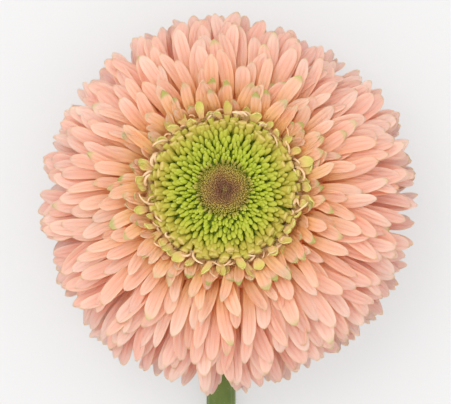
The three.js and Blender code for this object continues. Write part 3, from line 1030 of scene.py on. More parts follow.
@dataclass
class Palette:
    """Every material of the flower, made once."""

    effects: Effects = field(default_factory=Effects)
    made: dict[str, bpy.types.Material] = field(default_factory=dict)
    petal: Finish = PetalFinish("petal_skin", roughness=0.42, specular=0.45, sheen=0.15, see_through=0.5,
                                glow=(1.0, 0.92, 0.83), relief=0.2)
    lip: Finish = BladeFinish("rim_lip", root=(0.92, 0.56, 0.25), tip=(0.72, 0.70, 0.13),
                              edge=(0.92, 0.86, 0.42), see_through=0.2)
    filament: Finish = BladeFinish("filament", root=(0.84, 0.56, 0.28), tip=(0.95, 0.70, 0.45),
                                   edge=(0.95, 0.82, 0.62), see_through=0.2)
    bud: Finish = BudFinish("disc_bud", roughness=0.42, see_through=0.12, relief=0.05)
    centre: Finish = CentreFinish("disc_centre_bud", roughness=0.75, relief=0.05)
    bract: Finish = BladeFinish("bract_skin", see_through=0.08)
    skin: Finish = SkinFinish("stem_skin", body=(0.098, 0.16, 0.028), patch=(0.135, 0.19, 0.038),
                              roughness=0.5, sheen=0.2, relief=0.1)
    down: Finish = SkinFinish("down", body=(0.42, 0.46, 0.26), patch=(0.5, 0.54, 0.34), roughness=0.6)
    bed: Finish = SkinFinish("disc_bed", body=(0.2, 0.3, 0.015), patch=(0.27, 0.36, 0.02))
    # painted shade: the receptacle is a deep salmon, the colour of petals in shade, so that it reads as
    # shaded petal depths where it shows between them
    receptacle: Finish = SkinFinish("receptacle_petal_shade", body=(0.92, 0.47, 0.27), patch=(0.98, 0.56, 0.36))
    pith: Finish = SkinFinish("cut_pith", body=(0.42, 0.46, 0.22), patch=(0.52, 0.54, 0.30), roughness=0.7)
    surface: Finish = SurfaceFinish("pale_surface", roughness=0.9, specular=0.0)

    def dress(self, finish: Finish) -> bpy.types.Material:
        """Gives the material of a finish, which is made at its first use.

        Args:
            finish: One of the palette's finishes.

        Returns:
            The material.
        """
        if finish.name not in self.made:
            self.made[finish.name] = finish.material(self.effects)
        return self.made[finish.name]


# ---- Round bodies: buds, tubes, filaments and hairs ----


def leaning(lean: Array, azimuth: Array) -> tuple[Array, Array, Array]:
    """Works out the axes of bodies that lean out of the head.

    Args:
        lean: Radians from the head's axis.
        azimuth: Where round the head.

    Returns:
        The direction that each points in, the one round the head, and the one out of its upper flank.
    """
    ahead = polar(np.sin(lean), azimuth, np.cos(lean))
    side = np.stack([-np.sin(azimuth), np.cos(azimuth), np.zeros_like(azimuth)], axis=-1)
    return ahead, side, np.cross(ahead, side)


def scattered(inner: float, outer: float, cell: Span) -> tuple[Array, Array]:
    """Finds places on the disc that wind outwards by the golden angle.

    Args:
        inner: Where they start, from the middle.
        outer: Where they end.
        cell: The area that each takes up at the start and at the end.

    Returns:
        Their radii and azimuths.
    """
    fine = np.linspace(inner, outer, 400)
    density = FULL_TURN * fine / blend(*cell, (fine - inner) / (outer - inner))
    counted = np.concatenate([[0], np.cumsum((density[1:] + density[:-1]) / 2 * np.diff(fine))])
    number = np.arange(int(counted[-1]))
    return np.interp(number, counted, fine), number * GOLDEN_ANGLE


@dataclass
class Buds:
    """A batch of closed florets, one number each, that stand in the disc."""

    root: Array  # [bud, xyz] in the head's frame
    azimuth: Array
    lean: Array  # radians from the head's axis
    length: Array
    half: Array
    seed: Array
    tier: Array
    shape: Profile  # shares of the length, of the half width, and of the lobes' depth
    flatness: float = 0.8  # thickness over width
    lobes: int = 5
    lobe: float = 0.16  # depth of the lobes at the tip
    arch: float = 0.1  # how far the bud bends outwards, over its length
    sides: int = 10

    def rounds(self) -> Rounds:
        """Works out the buds' rings.

        Returns:
            The batch, ready for a piece.
        """
        along, wide, lobed = np.array(self.shape).T[:, :, None]
        around = np.arange(self.sides) / self.sides * FULL_TURN
        ahead, side, up = (axis[:, None, None] for axis in leaning(self.lean, self.azimuth))
        turned = around[None, None, :] + (self.seed * FULL_TURN)[:, None, None]
        lobes = 1 + self.lobe * lobed[None] * np.cos(self.lobes * turned)
        reach = self.half[:, None, None] * wide[None] * lobes
        across = (reach * np.cos(around))[..., None] * side
        deep = (reach * self.flatness * np.sin(around))[..., None] * up
        far = (self.length[:, None, None] * along[None])[..., None] * ahead
        bent = (self.length[:, None, None] * self.arch * along[None] ** 2)[..., None] * up
        rings = HEAD.place(self.root[:, None, None] + across + deep + far - bent)
        seed, tier = self.seed[:, None], self.tier[:, None]
        return Rounds(rings, {PointValue.ALONG: along[:, 0], PointValue.SEED: seed, PointValue.TIER: tier})


def tubes(places: Array, normal: Array, binormal: Array, radius: Array, sides: int, seed: Array) -> Rounds:
    """Makes round tubes along lines.

    Args:
        places: The lines, as [tube, station, xyz], in the flower's frame.
        normal: A direction across each line, at each station.
        binormal: The other direction across, so that normal, binormal and the line are right-handed.
        radius: The radius at each station.
        sides: Points round a tube.
        seed: A random share for each tube.

    Returns:
        The batch, ready for a piece.
    """
    around = np.arange(sides) / sides * FULL_TURN
    cos, sin = np.cos(around)[:, None], np.sin(around)[:, None]
    wide = np.broadcast_to(radius, places.shape[:2])[:, :, None, None]
    rings = places[:, :, None] + wide * (cos * normal[:, :, None] + sin * binormal[:, :, None])
    along = np.linspace(0, 1, places.shape[1])
    return Rounds(rings, {PointValue.ALONG: along, PointValue.SEED: seed[:, None]})


def turned(profile: Profile, sides: int = 48) -> Rounds:
    """Makes a closed body of revolution about the head's axis.

    Args:
        profile: Radii and heights from its bottom to its top.
        sides: Points round it.

    Returns:
        The body, ready for a piece.
    """
    radius, height = np.array(profile).T
    azimuth = np.arange(sides) / sides * FULL_TURN
    return Rounds(HEAD.place(polar(radius[:, None] + 0 * azimuth, azimuth[None, :], height[:, None]))[None])


def down_hairs(roots: Array, out: Array, length: Array, radius: float) -> Rounds:
    """Makes straight tapering hairs.

    Args:
        roots: Where they spring from, in the flower's frame.
        out: Their directions, of length 1.
        length: Their lengths.
        radius: Their radius at the root.

    Returns:
        The batch, ready for a piece.
    """
    upright = np.abs(out[:, 2:]) >= 0.8
    helper = np.where(upright, [[1.0, 0.0, 0.0]], [[0.0, 0.0, 1.0]])
    normal = unit(np.cross(helper, out))[:, None]
    binormal = np.cross(out, normal[:, 0])[:, None]
    stations, taper = np.array([0.0, 0.5, 1.0]), radius * np.array([1.0, 0.6, 0.12])
    places = roots[:, None] + out[:, None] * length[:, None, None] * stations[None, :, None]
    steady = np.ones((1, len(stations), 1))
    seed = np.linspace(0, 1, len(roots))
    return tubes(places, normal * steady, binormal * steady, taper[None], 3, seed)


@dataclass
class Curls:
    """A batch of tapering filaments, one number each, that curl over in a plane."""

    root: Array  # [filament, xyz] in the head's frame
    lean: Array  # radians from the head's axis at the root
    azimuth: Array
    plane: Array  # radians that the curl's plane is turned, from round the head to outwards
    length: Array
    curl: Array  # radians from root to tip
    radius: Array
    seed: Array
    stations: int = 14
    sides: int = 7
    thinning: float = 0.55  # towards the tip

    def rounds(self) -> Rounds:
        """Works out the filaments' rings.

        Returns:
            The batch, ready for a piece.
        """
        share = np.linspace(0, 1, self.stations)[None, :, None]
        ahead, side, up = (axis[:, None] for axis in leaning(self.lean, self.azimuth))
        aside = np.cos(self.plane)[:, None, None] * side - np.sin(self.plane)[:, None, None] * up
        angle = self.curl[:, None, None] * share**1.4
        heading = np.cos(angle) * ahead + np.sin(angle) * aside
        step = self.length[:, None, None] / (self.stations - 1)
        places = self.root[:, None] + np.cumsum(heading * step, axis=1) - heading[:, :1] * step
        normal = np.cos(angle) * aside - np.sin(angle) * ahead
        binormal = np.broadcast_to(np.cross(ahead, aside), normal.shape)
        turn = HEAD.turning().T
        taper = self.radius[:, None] * (1 - self.thinning * share[..., 0] ** 2)
        return tubes(HEAD.place(places), normal @ turn, binormal @ turn, taper, self.sides, self.seed)


# ---- The flower's parts ----


@dataclass
class Part:
    """A part of the flower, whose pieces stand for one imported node."""

    palette: Palette
    random: np.random.Generator
    slot: str = ""
    node: str = ""
    floor: float = 16.9  # the disc's level in the head's frame
    narrowing: float = 0.05  # how much nearer the middle florets stand above and below it than beside it

    def make(self, name: str, finish: Finish, *shapes: Shape) -> None:
        """Gathers shapes into one piece, dresses it and hands it over.

        Args:
            name: The piece's name.
            finish: One of the palette's finishes.
            *shapes: What the piece is made of.
        """
        piece = PieceMesh()
        for shape in shapes:
            shape.add_to(piece)
        piece.build(name, self.palette.dress(finish), self.slot, self.node)

    def ringed(self, count: int, jitter: float, offset: float = 0.0) -> Array:
        """Azimuths at uneven steps round the head."""
        return (np.arange(count) + self.random.uniform(-jitter, jitter, count) + offset) / count * FULL_TURN

    def narrowed(self, azimuth: Array) -> Array:
        """The share of its radius that a floret keeps at an azimuth."""
        return 1 - self.narrowing * np.sin(azimuth) ** 2


@dataclass
class RayFlorets(Part):
    """The petals, in a spiral over the head's shoulder and a short row inside it, and the receptacle."""

    slot: str = "petal"
    node: str = "ray_florets"
    count: int = 572
    tiers: int = 5
    latitudes: Span = (-48.0, 69.0)  # degrees round the shoulder
    highest_root: float = 98.0
    lower_share: float = 0.55  # how crowded the petals are below the shoulder's middle, over those above
    upper_thinning: float = 0.18  # and how much less crowded near the disc
    turn: Span = (22.0, 1.0)  # the shoulder's middle, as radius and height
    tip_reach: Span = (28.6, 27.0)  # from there, outwards and upwards
    root_reach: Span = (8.5, 17.2)
    body_reach: Span = (10.0, 17.4)
    body_latitudes: tuple[float, ...] = (20, 40, 60, 80)
    body_foot: Profile = ((2, 1), (11, 1), (26.5, 4.4))
    body_top: Profile = ((20.5, 18.1), (2, 16.3))
    half_width: float = 1.8
    rises: Span = (-0.12, 1.05)  # radians above the head's plane at the root
    inner_count: int = 92
    inner_outline: Outline = Outline(base=0.6, widest=0.66, cap_start=0.8)
    growth: Profile = (  # degrees round the head, and how much longer the petals are there
        (0, 0), (28, -0.4), (40, -2.8), (70, -2.7), (80, -2.2), (92, -0.3), (104, -0.5), (120, 0.2),
        (135, -1.1), (165, -0.6), (180, 0), (222, 0.5), (232, 2.4), (250, -0.7), (263, 2.7), (275, 0.6),
        (300, 0), (330, 0.2), (350, -0.9),
    )

    def on_shoulder(self, reach: Span, latitude: Array) -> Array:
        """Places on an ellipse round the shoulder's middle."""
        radius = self.turn[0] + reach[0] * np.cos(latitude)
        return np.stack([radius, self.turn[1] + reach[1] * np.sin(latitude)], axis=-1)

    def spiral_latitudes(self) -> Array:
        """Spreads the petals over the head's curved surface, wider apart below and near the disc.

        Returns:
            Their latitudes, from the lowest.
        """
        fine = np.linspace(*np.radians(self.latitudes), 2000)
        above = 1 - self.upper_thinning * smooth(fine, 0.3, 1.1)
        crowding = np.where(fine < 0, self.lower_share, above)
        area = (self.turn[0] * fine + self.tip_reach[0] * np.sin(fine)) * crowding
        return np.interp(np.linspace(area[0], area[-1], self.count), area, fine)

    def roots(self, latitude: Array) -> Array:
        """Finds where the petals are rooted.

        Args:
            latitude: The petals' latitudes.

        Returns:
            Radii and heights.
        """
        share = np.clip(latitude / np.radians(self.latitudes[1]), 0, 1)
        above = self.on_shoulder(self.root_reach, np.radians(self.highest_root) * share**0.55)
        outward = 1 - latitude / np.radians(self.latitudes[0])
        radius, height = blend(11, 25.2, outward), 0.9 + blend(0.6, 3.1, outward)
        return np.where(latitude[:, None] >= 0, above, np.stack([radius, height], axis=-1))

    def spiral(self) -> Blades:
        """Lays out the spiral's petals.

        Returns:
            The batch, from the lowest to the highest.
        """
        draw, count = self.random.uniform, self.count
        latitude, (low, high) = self.spiral_latitudes(), np.radians(self.latitudes)
        azimuth = np.arange(count) * GOLDEN_ANGLE
        grown = np.interp(np.degrees(azimuth), *zip(*self.growth), period=360)
        short = draw(-0.4, 1.3, count) + draw(0, 3.6, count) * smooth(latitude, 0.1, 1.0) - grown
        outwards = np.stack([np.cos(latitude), np.sin(latitude)], axis=-1)
        tip = self.on_shoulder(self.tip_reach, latitude) - short[:, None] * outwards
        upper = smooth(latitude, np.radians(10), np.radians(80))
        steep = smooth(latitude, np.radians(-30), np.radians(85))
        return Blades(
            root=self.roots(latitude), tip=tip, rise=blend(*self.rises, steep) + draw(-0.1, 0.1, count),
            azimuth=azimuth + draw(-0.05, 0.05, count),
            half=self.half_width * draw(0.8, 1.2, count) * blend(1.14, 0.94, upper),
            bow=draw(-0.1, 0.1, count), roll=draw(-0.6, 0.6, count), cup=draw(-0.8, 0.6, count) + 0.4 * upper,
            curl=draw(-0.35, 0.35, count) + draw(0, 0.7, count) * upper, wave=draw(0, 0.08, count),
            seed=draw(0, 1, count), tier=(latitude - low) / (high - low),
            green=(np.where(draw(0, 1, count) < blend(0.02, 0.22, upper), draw(0.3, 0.9, count), 0.0)
                   * blend(0.5, 1, upper)),
            outline=Outline(),
        )

    def innermost(self) -> Blades:
        """Lays out the short petals against the disc, whose green tips hook inwards.

        Returns:
            The batch.
        """
        draw, count = self.random.uniform, self.inner_count
        reach = draw(0, 1, count)
        outer, top = blend(23.6, 31.5, reach), blend(23.6, 25.0, reach) + draw(-0.6, 1.0, count)
        azimuth = self.ringed(count, 0.35)
        inwards = self.narrowed(azimuth)
        return Blades(
            root=np.stack([draw(19.2, 20.6, count) * inwards, np.full(count, 18.6)], axis=-1),
            tip=np.stack([outer * inwards, top], axis=-1), rise=draw(1.0, 1.3, count), azimuth=azimuth,
            half=blend(1.2, 1.75, reach) * draw(0.85, 1.15, count), bow=draw(-0.1, 0.1, count),
            roll=draw(-0.4, 0.4, count), cup=draw(0.0, 1.1, count), curl=draw(-0.1, 0.9, count),
            wave=draw(0.02, 0.12, count), seed=draw(0, 1, count), tier=np.full(count, 1.25),
            green=draw(-0.2, 1.2, count).clip(0), outline=self.inner_outline,
        )

    def build(self) -> None:
        """Builds the petals, and the receptacle that they stand in."""
        whole = self.spiral()
        for number, chosen in enumerate(np.array_split(np.arange(self.count), self.tiers), start=1):
            some = {key: value[chosen] for key, value in vars(whole).items() if isinstance(value, np.ndarray)}
            self.make(f"petals_tier_{number}", self.palette.petal, Blades(**some, outline=whole.outline))
        self.make("petals_innermost", self.palette.petal, self.innermost())
        shoulder = self.on_shoulder(self.body_reach, np.radians(self.body_latitudes))
        self.make("receptacle", self.palette.receptacle, turned((*self.body_foot, *shoulder, *self.body_top)))


@dataclass
class Rim(Part):
    """The ring of half-open florets between disc and petals: slim tubes, cupped lips and curled filaments."""

    slot: str = "rim_floret"
    node: str = "rim_florets"
    florets: int = 54
    filaments: int = 58
    ring: Profile = ((17.7, 16.4), (20.7, 16.4), (20.7, 19.4), (19.6, 20.4), (18.2, 20.5), (17.7, 16.5))
    tube: Profile = ((0, 0.8, 0), (0.3, 0.75, 0), (0.6, 0.85, 0), (0.85, 1, 0.5), (0.98, 1.05, 1),
                     (0.9, 0.7, 1))
    lip: Outline = Outline(base=0.42, widest=0.75, cap_start=0.66, cap_depth=0.93, tip_round=0.02, notch=0.02,
                           groove=0.06, thickness=0.3, rows=13)

    def lips(self) -> Blades:
        """Lays out the lips, which flare out over the innermost petals.

        Returns:
            The batch.
        """
        draw, count = self.random.uniform, self.florets
        azimuth = self.ringed(count, 0.35)
        radius = draw(18.2, 19.8, count) * self.narrowed(azimuth)
        radius = radius + draw(0, 1.6, count) * (0.5 - 0.5 * np.sin(azimuth))
        height = self.floor + draw(3.6, 5.2, count)
        angle = np.radians(draw(5, 60, count))
        length = draw(3.2, 6.2, count)
        tip = np.stack([radius + length * np.cos(angle), height + length * np.sin(angle)], axis=-1)
        return Blades(
            root=np.stack([radius, height], axis=-1), tip=tip, rise=angle + 0.25, azimuth=azimuth,
            half=draw(1.0, 1.75, count), bow=draw(-0.06, 0.06, count), roll=draw(-0.9, 0.9, count),
            cup=draw(0.4, 1.3, count), curl=draw(0.2, 1.9, count), wave=draw(0.05, 0.2, count),
            seed=draw(0, 1, count), tier=draw(0, 1, count), green=draw(0, 1, count), outline=self.lip,
        )

    def tubes_under(self, lips: Blades) -> Buds:
        """Lays out the tube that each lip grows from.

        Args:
            lips: The lips.

        Returns:
            The batch.
        """
        draw, count = self.random.uniform, self.florets
        return Buds(
            root=polar(lips.root[:, 0] - 0.5, lips.azimuth, np.full(count, self.floor)), azimuth=lips.azimuth,
            lean=np.radians(draw(4, 14, count)), length=draw(3.8, 4.8, count), half=draw(0.55, 0.8, count),
            seed=lips.seed, tier=lips.tier, shape=self.tube, lobe=0.1,
        )

    def curls(self) -> Curls:
        """Lays out the filaments.

        Returns:
            The batch.
        """
        draw, count = self.random.uniform, self.filaments
        azimuth = self.ringed(count, 0.8)
        radius = draw(18.0, 20.2, count)
        return Curls(
            root=polar(radius, azimuth, self.floor + draw(3.6, 6.4, count)),
            lean=np.radians(draw(10, 60, count)), azimuth=azimuth,
            plane=draw(-0.7, 0.6, count) + math.pi * self.random.integers(0, 2, count),
            length=draw(1.6, 6.4, count), curl=draw(0.6, 4.4, count), radius=draw(0.2, 0.5, count),
            seed=draw(0, 1, count),
        )

    def build(self) -> None:
        """Builds the florets' tubes, lips and filaments."""
        lips = self.lips()
        self.make("rim_lips", self.palette.lip, lips)
        self.make("rim_tubes", self.palette.lip, turned(self.ring, 64), self.tubes_under(lips).rounds())
        self.make("rim_filaments", self.palette.filament, self.curls().rounds())


@dataclass
class Disc(Part):
    """The disc: a crested bed with green florets in bud and angular olive ones outside them."""

    slot: str = "disc_floret"
    node: str = "disc_florets"
    inner: float = 6.5
    outer: float = 17.6
    crest: float = 13.0
    inner_height: float = 3.6
    crest_height: float = 5.2
    outer_height: float = 4.3
    sunk: float = 0.3  # the bed under the florets' feet
    bed_foot: Profile = ((6.7, 16.4), (17.6, 16.4))
    bed_radii: tuple[float, ...] = (17.4, 16, 14.5, 13, 11, 9, 7.5, 6.7)
    bed_end: Span = (6.6, 16.45)
    green_span: Span = (6.8, 16.2)
    green_cells: Span = (0.56, 1.95)
    green_shape: Profile = ((0, 0.6, 0), (0.12, 0.84, 0), (0.35, 1, 0), (0.65, 0.98, 0.1), (0.85, 0.8, 0.3),
                            (0.96, 0.48, 0.7), (1, 0.2, 1), (0.99, 0.05, 0))
    olive_span: Span = (16.0, 18.8)
    olive_cells: Span = (1.9, 2.3)
    olive_shape: Profile = ((0, 0.4, 0.3), (0.3, 0.6, 0.5), (0.6, 0.84, 0.8), (0.84, 1.06, 1.1),
                            (0.95, 1.04, 1.4), (1, 0.74, 1.7), (0.975, 0.3, 1.5), (0.95, 0.06, 0))

    def cushion(self, radius: Array) -> Array:
        """Works out the disc's crested surface.

        Args:
            radius: Distances from the head's axis.

        Returns:
            The heights there.
        """
        rising = blend(self.inner_height, self.crest_height, smooth(radius, self.inner, self.crest))
        falling = blend(self.crest_height, self.outer_height, smooth(radius, self.crest, self.outer))
        return self.floor + np.where(radius < self.crest, rising, falling)

    def green_buds(self) -> Buds:
        """Lays out the bright green florets, small by the centre and larger outwards.

        Returns:
            The batch.
        """
        start, end = self.green_span
        radius, azimuth = scattered(start, end, self.green_cells)
        draw, count = self.random.uniform, len(radius)
        radius, azimuth = radius + draw(-0.18, 0.18, count), azimuth + draw(-0.6, 0.6, count) / radius
        share = np.clip((radius - start) / (end - start), 0, 1)
        lean = np.radians(blend(32, 62, share)) + draw(-0.24, 0.24, count)
        length = blend(1.7, 2.9, share**0.8) * draw(0.8, 1.16, count)
        height = self.cushion(radius) + draw(0.1, 1.0, count)
        return Buds(
            root=polar(radius - 0.5 * length * np.sin(lean), azimuth, height),
            azimuth=azimuth + draw(-0.32, 0.32, count), lean=lean, length=length,
            half=blend(0.38, 0.74, share) * draw(0.82, 1.16, count), seed=draw(0, 1, count), tier=share**2.6,
            shape=self.green_shape,
        )

    def olive_buds(self) -> Buds:
        """Lays out the outer florets, which are wider, angular and nearly flat at the top.

        Returns:
            The batch.
        """
        radius, azimuth = scattered(*self.olive_span, self.olive_cells)
        draw, count = self.random.uniform, len(radius)
        radius = (radius + draw(-0.35, 0.35, count)) * self.narrowed(azimuth)
        lean = np.radians(draw(54, 82, count))
        length = draw(3.0, 4.6, count)
        height = self.cushion(radius) + draw(0.0, 1.0, count)
        return Buds(
            root=polar(radius - 0.66 * length * np.sin(lean), azimuth, height),
            azimuth=azimuth + draw(-0.35, 0.35, count), lean=lean, length=length,
            half=draw(0.75, 1.15, count), seed=draw(0, 1, count), tier=draw(0.8, 1.5, count),
            shape=self.olive_shape, flatness=0.62, sides=15,
        )

    def build(self) -> None:
        """Builds the bed and the florets."""
        level = zip(self.bed_radii, self.cushion(np.array(self.bed_radii)) - self.sunk)
        self.make("disc_bed", self.palette.bed, turned((*self.bed_foot, *level, self.bed_end), 64))
        green, olive = self.green_buds(), self.olive_buds()
        self.make("disc_florets_green", self.palette.bud, green.rounds())
        self.make("disc_florets_olive", self.palette.bud, olive.rounds())


@dataclass
class DiscCentre(Part):
    """The disc's unopened centre: a low dipped cap with tiny closed florets."""

    slot: str = "disc_centre"
    node: str = "disc_centre"
    radius: float = 6.6
    height: float = 4.4
    dip: float = 0.8
    sunk: float = 0.55  # the cap under the florets' tops
    cap_foot: Profile = ((0.5, 16.4), (6.3, 16.4))
    cap_radii: tuple[float, ...] = (6.2, 5.4, 4.4, 3.4, 2.4, 1.4, 0.5)
    cells: Span = (0.06, 0.17)
    shape: Profile = ((0, 0.8, 0), (0.5, 1, 0), (0.8, 0.9, 0.4), (0.95, 0.55, 1), (0.97, 0.12, 0))

    def surface(self, radius: Array) -> Array:
        """The height of the centre at a distance from the head's axis."""
        fallen = 0.5 * smooth(radius, 4.2, self.radius)
        return self.floor + self.height - self.dip * (1 - smooth(radius, 0, 3.5)) - fallen

    def buds(self) -> Buds:
        """Lays out the centre's many tiny florets.

        Returns:
            The batch.
        """
        radius, azimuth = scattered(0.05, self.radius - 0.1, self.cells)
        draw, count = self.random.uniform, len(radius)
        azimuth = azimuth + draw(-0.1, 0.1, count) / np.maximum(radius, 0.3)
        radius = np.abs(radius + draw(-0.1, 0.1, count))
        share = radius / self.radius
        length = draw(1.1, 1.5, count)
        height = self.surface(radius) - 1.0 + draw(-0.12, 0.12, count)
        return Buds(
            root=polar(radius, azimuth, height), azimuth=azimuth,
            lean=blend(-0.1, 0.35, share) + draw(-0.15, 0.15, count), length=length,
            half=blend(0.125, 0.22, share) * draw(0.75, 1.2, count), seed=draw(0, 1, count), tier=share,
            shape=self.shape, flatness=1, sides=6,
        )

    def build(self) -> None:
        """Builds the centre."""
        cap = zip(self.cap_radii, self.surface(np.array(self.cap_radii)) - self.sunk)
        body = turned((*self.cap_foot, *cap))
        self.make("disc_centre_buds", self.palette.centre, body, self.buds().rounds())


@dataclass
class Involucre(Part):
    """The green cup under the head, with its rows of pointed bracts and their down."""

    slot: str = "bract"
    node: str = "involucre"
    cup: Profile = ((1, -3.55), (3.6, -3.6), (5.6, -3.0), (7, -2.2), (8.2, -1), (9, 0.3), (1, 0.4))
    rows: tuple[tuple[int, float, float, float], ...] = (  # count, depth, length, droop in degrees
        (22, -0.7, 13.5, -15.0), (20, -1.5, 11.5, -20.0), (14, -2.3, 8.0, -26.0),
    )
    start: float = 5.6
    half: float = 1.65
    outline: Outline = Outline(base=0.8, widest=0.3, cap_start=0.32, cap_depth=0.985, tip_round=0, notch=0,
                               groove=0.05, thickness=0.4, columns=(0, 0.2, 0.45, 0.75, 1), rows=13)
    hair_radius: float = 0.03

    def bracts(self, count: int, depth: float, length: float, droop: float) -> Blades:
        """Lays out one row.

        Args:
            count: How many bracts.
            depth: The row's height at its roots, in the head's frame.
            length: The bracts' length.
            droop: Degrees below the head's plane, where negative.

        Returns:
            The row.
        """
        draw = self.random.uniform
        angle = np.radians(droop) + draw(-0.05, 0.05, count)
        reach = length * draw(0.85, 1.08, count)
        root = np.stack([np.full(count, self.start), np.full(count, depth)], axis=-1)
        outwards = np.stack([np.cos(angle), np.sin(angle)], axis=-1)
        return Blades(
            root=root, tip=root + reach[:, None] * outwards, rise=angle - 0.1,
            azimuth=self.ringed(count, 0.15, 0.5 * (depth < -1)),
            half=self.half * draw(0.85, 1.15, count), bow=draw(-0.04, 0.04, count),
            roll=draw(-0.2, 0.2, count), cup=draw(0.1, 0.5, count), curl=draw(-0.1, 0.35, count),
            wave=draw(0, 0.06, count), seed=draw(0, 1, count), tier=np.zeros(count), green=np.zeros(count),
            outline=self.outline,
        )

    def down(self, blades: Blades) -> Rounds:
        """Strews hairs over the undersides of a row.

        Args:
            blades: The row.

        Returns:
            The hairs.
        """
        upper, lower = (side[:, 1:-1, 1:-1].reshape(-1, 3) for side in blades.faces_of())
        chosen = self.random.choice(len(lower), len(lower) // 2, replace=False)
        out = unit((lower - upper)[chosen])
        out = unit(out + self.random.normal(0, 0.3, out.shape))
        roots = lower[chosen] + self.random.normal(0, 0.1, out.shape) * (1, 1, 0)
        return down_hairs(roots, out, self.random.uniform(0.4, 0.9, len(out)), self.hair_radius)

    def build(self) -> None:
        """Builds the cup, the bracts and their down."""
        self.make("involucre_cup", self.palette.skin, turned(self.cup))
        bracts, down = [], []
        for row in self.rows:
            bracts.append(self.bracts(*row))
            down.append(self.down(bracts[-1]))
        self.make("bracts", self.palette.bract, *bracts)
        self.make("bract_down", self.palette.down, *down)


@dataclass
class Stem(Part):
    """The leafless ribbed stem with its down and its cut end."""

    slot: str = "stem"
    node: str = "stem"
    sides: int = 48
    ribs: int = 12
    rib: float = 0.035  # over the radius
    knobs: float = 0.012
    lowest: float = 0.02
    cut: Profile = (  # the cut face's rings, as shares of the radius and how proud they stand
        (0.94, -0.4), (0.94, 0.03), (0.86, 0.12), (0.6, 0.02), (0.3, -0.08),
    )
    hairs: int = 2600
    hair_radius: float = 0.028

    def rings(self) -> tuple[Array, Array]:
        """Walks the stem's skin.

        Returns:
            The centre line, and the skin's rings as [ring, side, xyz].
        """
        places, down, radius = STEM.stations()
        up = np.stack([np.zeros_like(down), -np.sin(down), np.cos(down)], axis=-1)[:, None]
        around = (np.arange(self.sides) + 0.5) / self.sides * FULL_TURN
        back = np.linspace(0, 1, len(places))[:, None]
        ribbed = 1 + self.rib * np.cos(self.ribs * around[None] + 1.5 * np.sin(5 * back)) - self.rib
        knobbly = 1 + self.knobs * np.sin(3 * around[None] + 31 * back)
        reach = (radius[:, None] * ribbed * knobbly)[..., None]
        cos, sin = np.cos(around)[None, :, None], np.sin(around)[None, :, None]
        rings = places[:, None] + reach * (cos * np.array([1.0, 0.0, 0.0]) + sin * up)
        rings[..., 2] = np.maximum(rings[..., 2], self.lowest)
        return places, rings

    def down(self, places: Array, rings: Array) -> Rounds:
        """Strews hairs over the skin, apart from where it lies on the surface.

        Args:
            places: The centre line.
            rings: The skin's rings.

        Returns:
            The hairs.
        """
        draws = self.random
        ring = draws.integers(0, len(places) - 1, self.hairs)
        spot = draws.integers(0, self.sides, self.hairs)
        share = draws.uniform(0, 1, (self.hairs, 1))
        roots = blend(rings[ring, spot], rings[ring + 1, spot], share)
        out = unit(roots - blend(places[ring], places[ring + 1], share))
        out = unit(out + draws.normal(0, 0.25, out.shape))
        longest, clearance = 1.2, 0.3
        clear = roots[:, 2] + out[:, 2] * longest > clearance
        return down_hairs(roots[clear], out[clear], draws.uniform(0.5, 1.1, clear.sum()), self.hair_radius)

    def build(self) -> None:
        """Builds the skin, the cut face and the down."""
        places, rings = self.rings()
        self.make("stem_skin", self.palette.skin, Rounds(rings[None, ::-1]))
        back, middle, edge = np.array([0.0, -1.0, 0.0]), places[-1], rings[-1]
        face = np.stack([middle + (edge - middle) * share + back * proud for share, proud in self.cut])
        self.make("stem_cut", self.palette.pith, Rounds(face[None, :, ::-1]))
        self.make("stem_down", self.palette.down, self.down(places, rings))


# ---- Studio ----


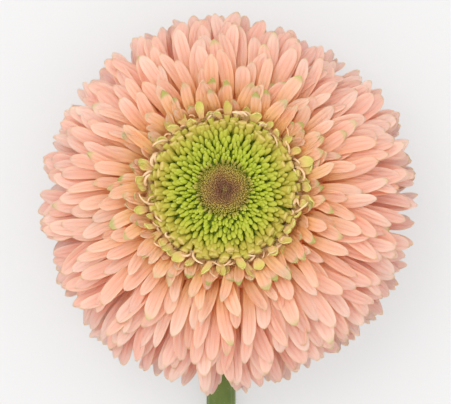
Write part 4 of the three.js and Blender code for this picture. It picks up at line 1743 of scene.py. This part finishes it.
@dataclass
class Studio:
    """The pale surface, the soft light and the camera above the flower."""

    palette: Palette
    surface_half: float = 3.0
    sky: float = 1.22
    key_power: float = 3.9
    key_size: float = 0.7
    key_colour: Colour = (1.0, 0.985, 0.96)
    key_place: Triple = (-0.4, 0.5, 1.15)
    key_target: Triple = (0.0, 0.125, 0.02)
    camera_place: Triple = (-0.00093, 0.12514, 0.772)
    view_width: float = 0.1193
    subject_height: float = 0.022
    sensor: float = 36.0
    bounces: int = 8  # of light from petal to petal

    def build(self) -> None:
        """Sets up the surface, the light and the camera."""
        self.lay_surface()
        self.light()
        self.set_camera()

    def lay_surface(self) -> None:
        """Lays the surface, at height 0."""
        half = self.surface_half
        mesh = bpy.data.meshes.new("surface")
        corners = [(-half, -half, 0), (half, -half, 0), (half, half, 0), (-half, half, 0)]
        mesh.from_pydata(corners, [], [(0, 1, 2, 3)])
        mesh.materials.append(self.palette.dress(self.palette.surface))
        self.stand("surface", mesh)

    def light(self) -> None:
        """Lights the flower with a soft sky and one large lamp."""
        world = bpy.data.worlds.new("studio")
        world.use_nodes = True
        sky = world.node_tree.nodes["Background"].inputs
        sky["Color"].default_value, sky["Strength"].default_value = (1, 1, 1, 1), self.sky
        bpy.context.scene.world = world
        lamp = bpy.data.lights.new("key", "AREA")
        lamp.energy, lamp.size, lamp.color = self.key_power, self.key_size, self.key_colour
        key = self.stand("key", lamp, self.key_place)
        aim = np.array(self.key_target) - np.array(self.key_place)
        key.rotation_euler = (math.acos(-aim[2] / np.linalg.norm(aim)), 0, math.atan2(-aim[0], aim[1]))

    def set_camera(self) -> None:
        """Sets the camera straight above the head."""
        scene, lens = bpy.context.scene, bpy.data.cameras.new("camera")
        lens.sensor_fit, lens.sensor_width = "HORIZONTAL", self.sensor
        lens.lens = self.sensor * (self.camera_place[2] - self.subject_height) / self.view_width
        scene.camera = self.stand("camera", lens, self.camera_place)
        scene.view_settings.view_transform = "Standard"
        scene.cycles.diffuse_bounces = self.bounces

    @staticmethod
    def stand(name: str, data: bpy.types.ID, place: Triple = (0, 0, 0)) -> bpy.types.Object:
        """Puts an object into the scene.

        Args:
            name: Its name.
            data: Its mesh, lamp or lens.
            place: Where it goes, in metres.

        Returns:
            The object.
        """
        made = bpy.data.objects.new(name, data)
        made.location = place
        bpy.context.scene.collection.objects.link(made)
        return made


def main() -> None:
    """Builds the flower and its studio, in order."""
    logging.basicConfig(level=logging.INFO, format="%(name)s: %(message)s")
    palette, disc_draws = Palette(), np.random.default_rng(37)
    Studio(palette).build()
    RayFlorets(palette, np.random.default_rng(11)).build()
    Rim(palette, np.random.default_rng(23)).build()
    Disc(palette, disc_draws).build()
    DiscCentre(palette, disc_draws).build()
    Involucre(palette, np.random.default_rng(41)).build()
    Stem(palette, np.random.default_rng(53)).build()


if __name__ == "__main__":
    main()
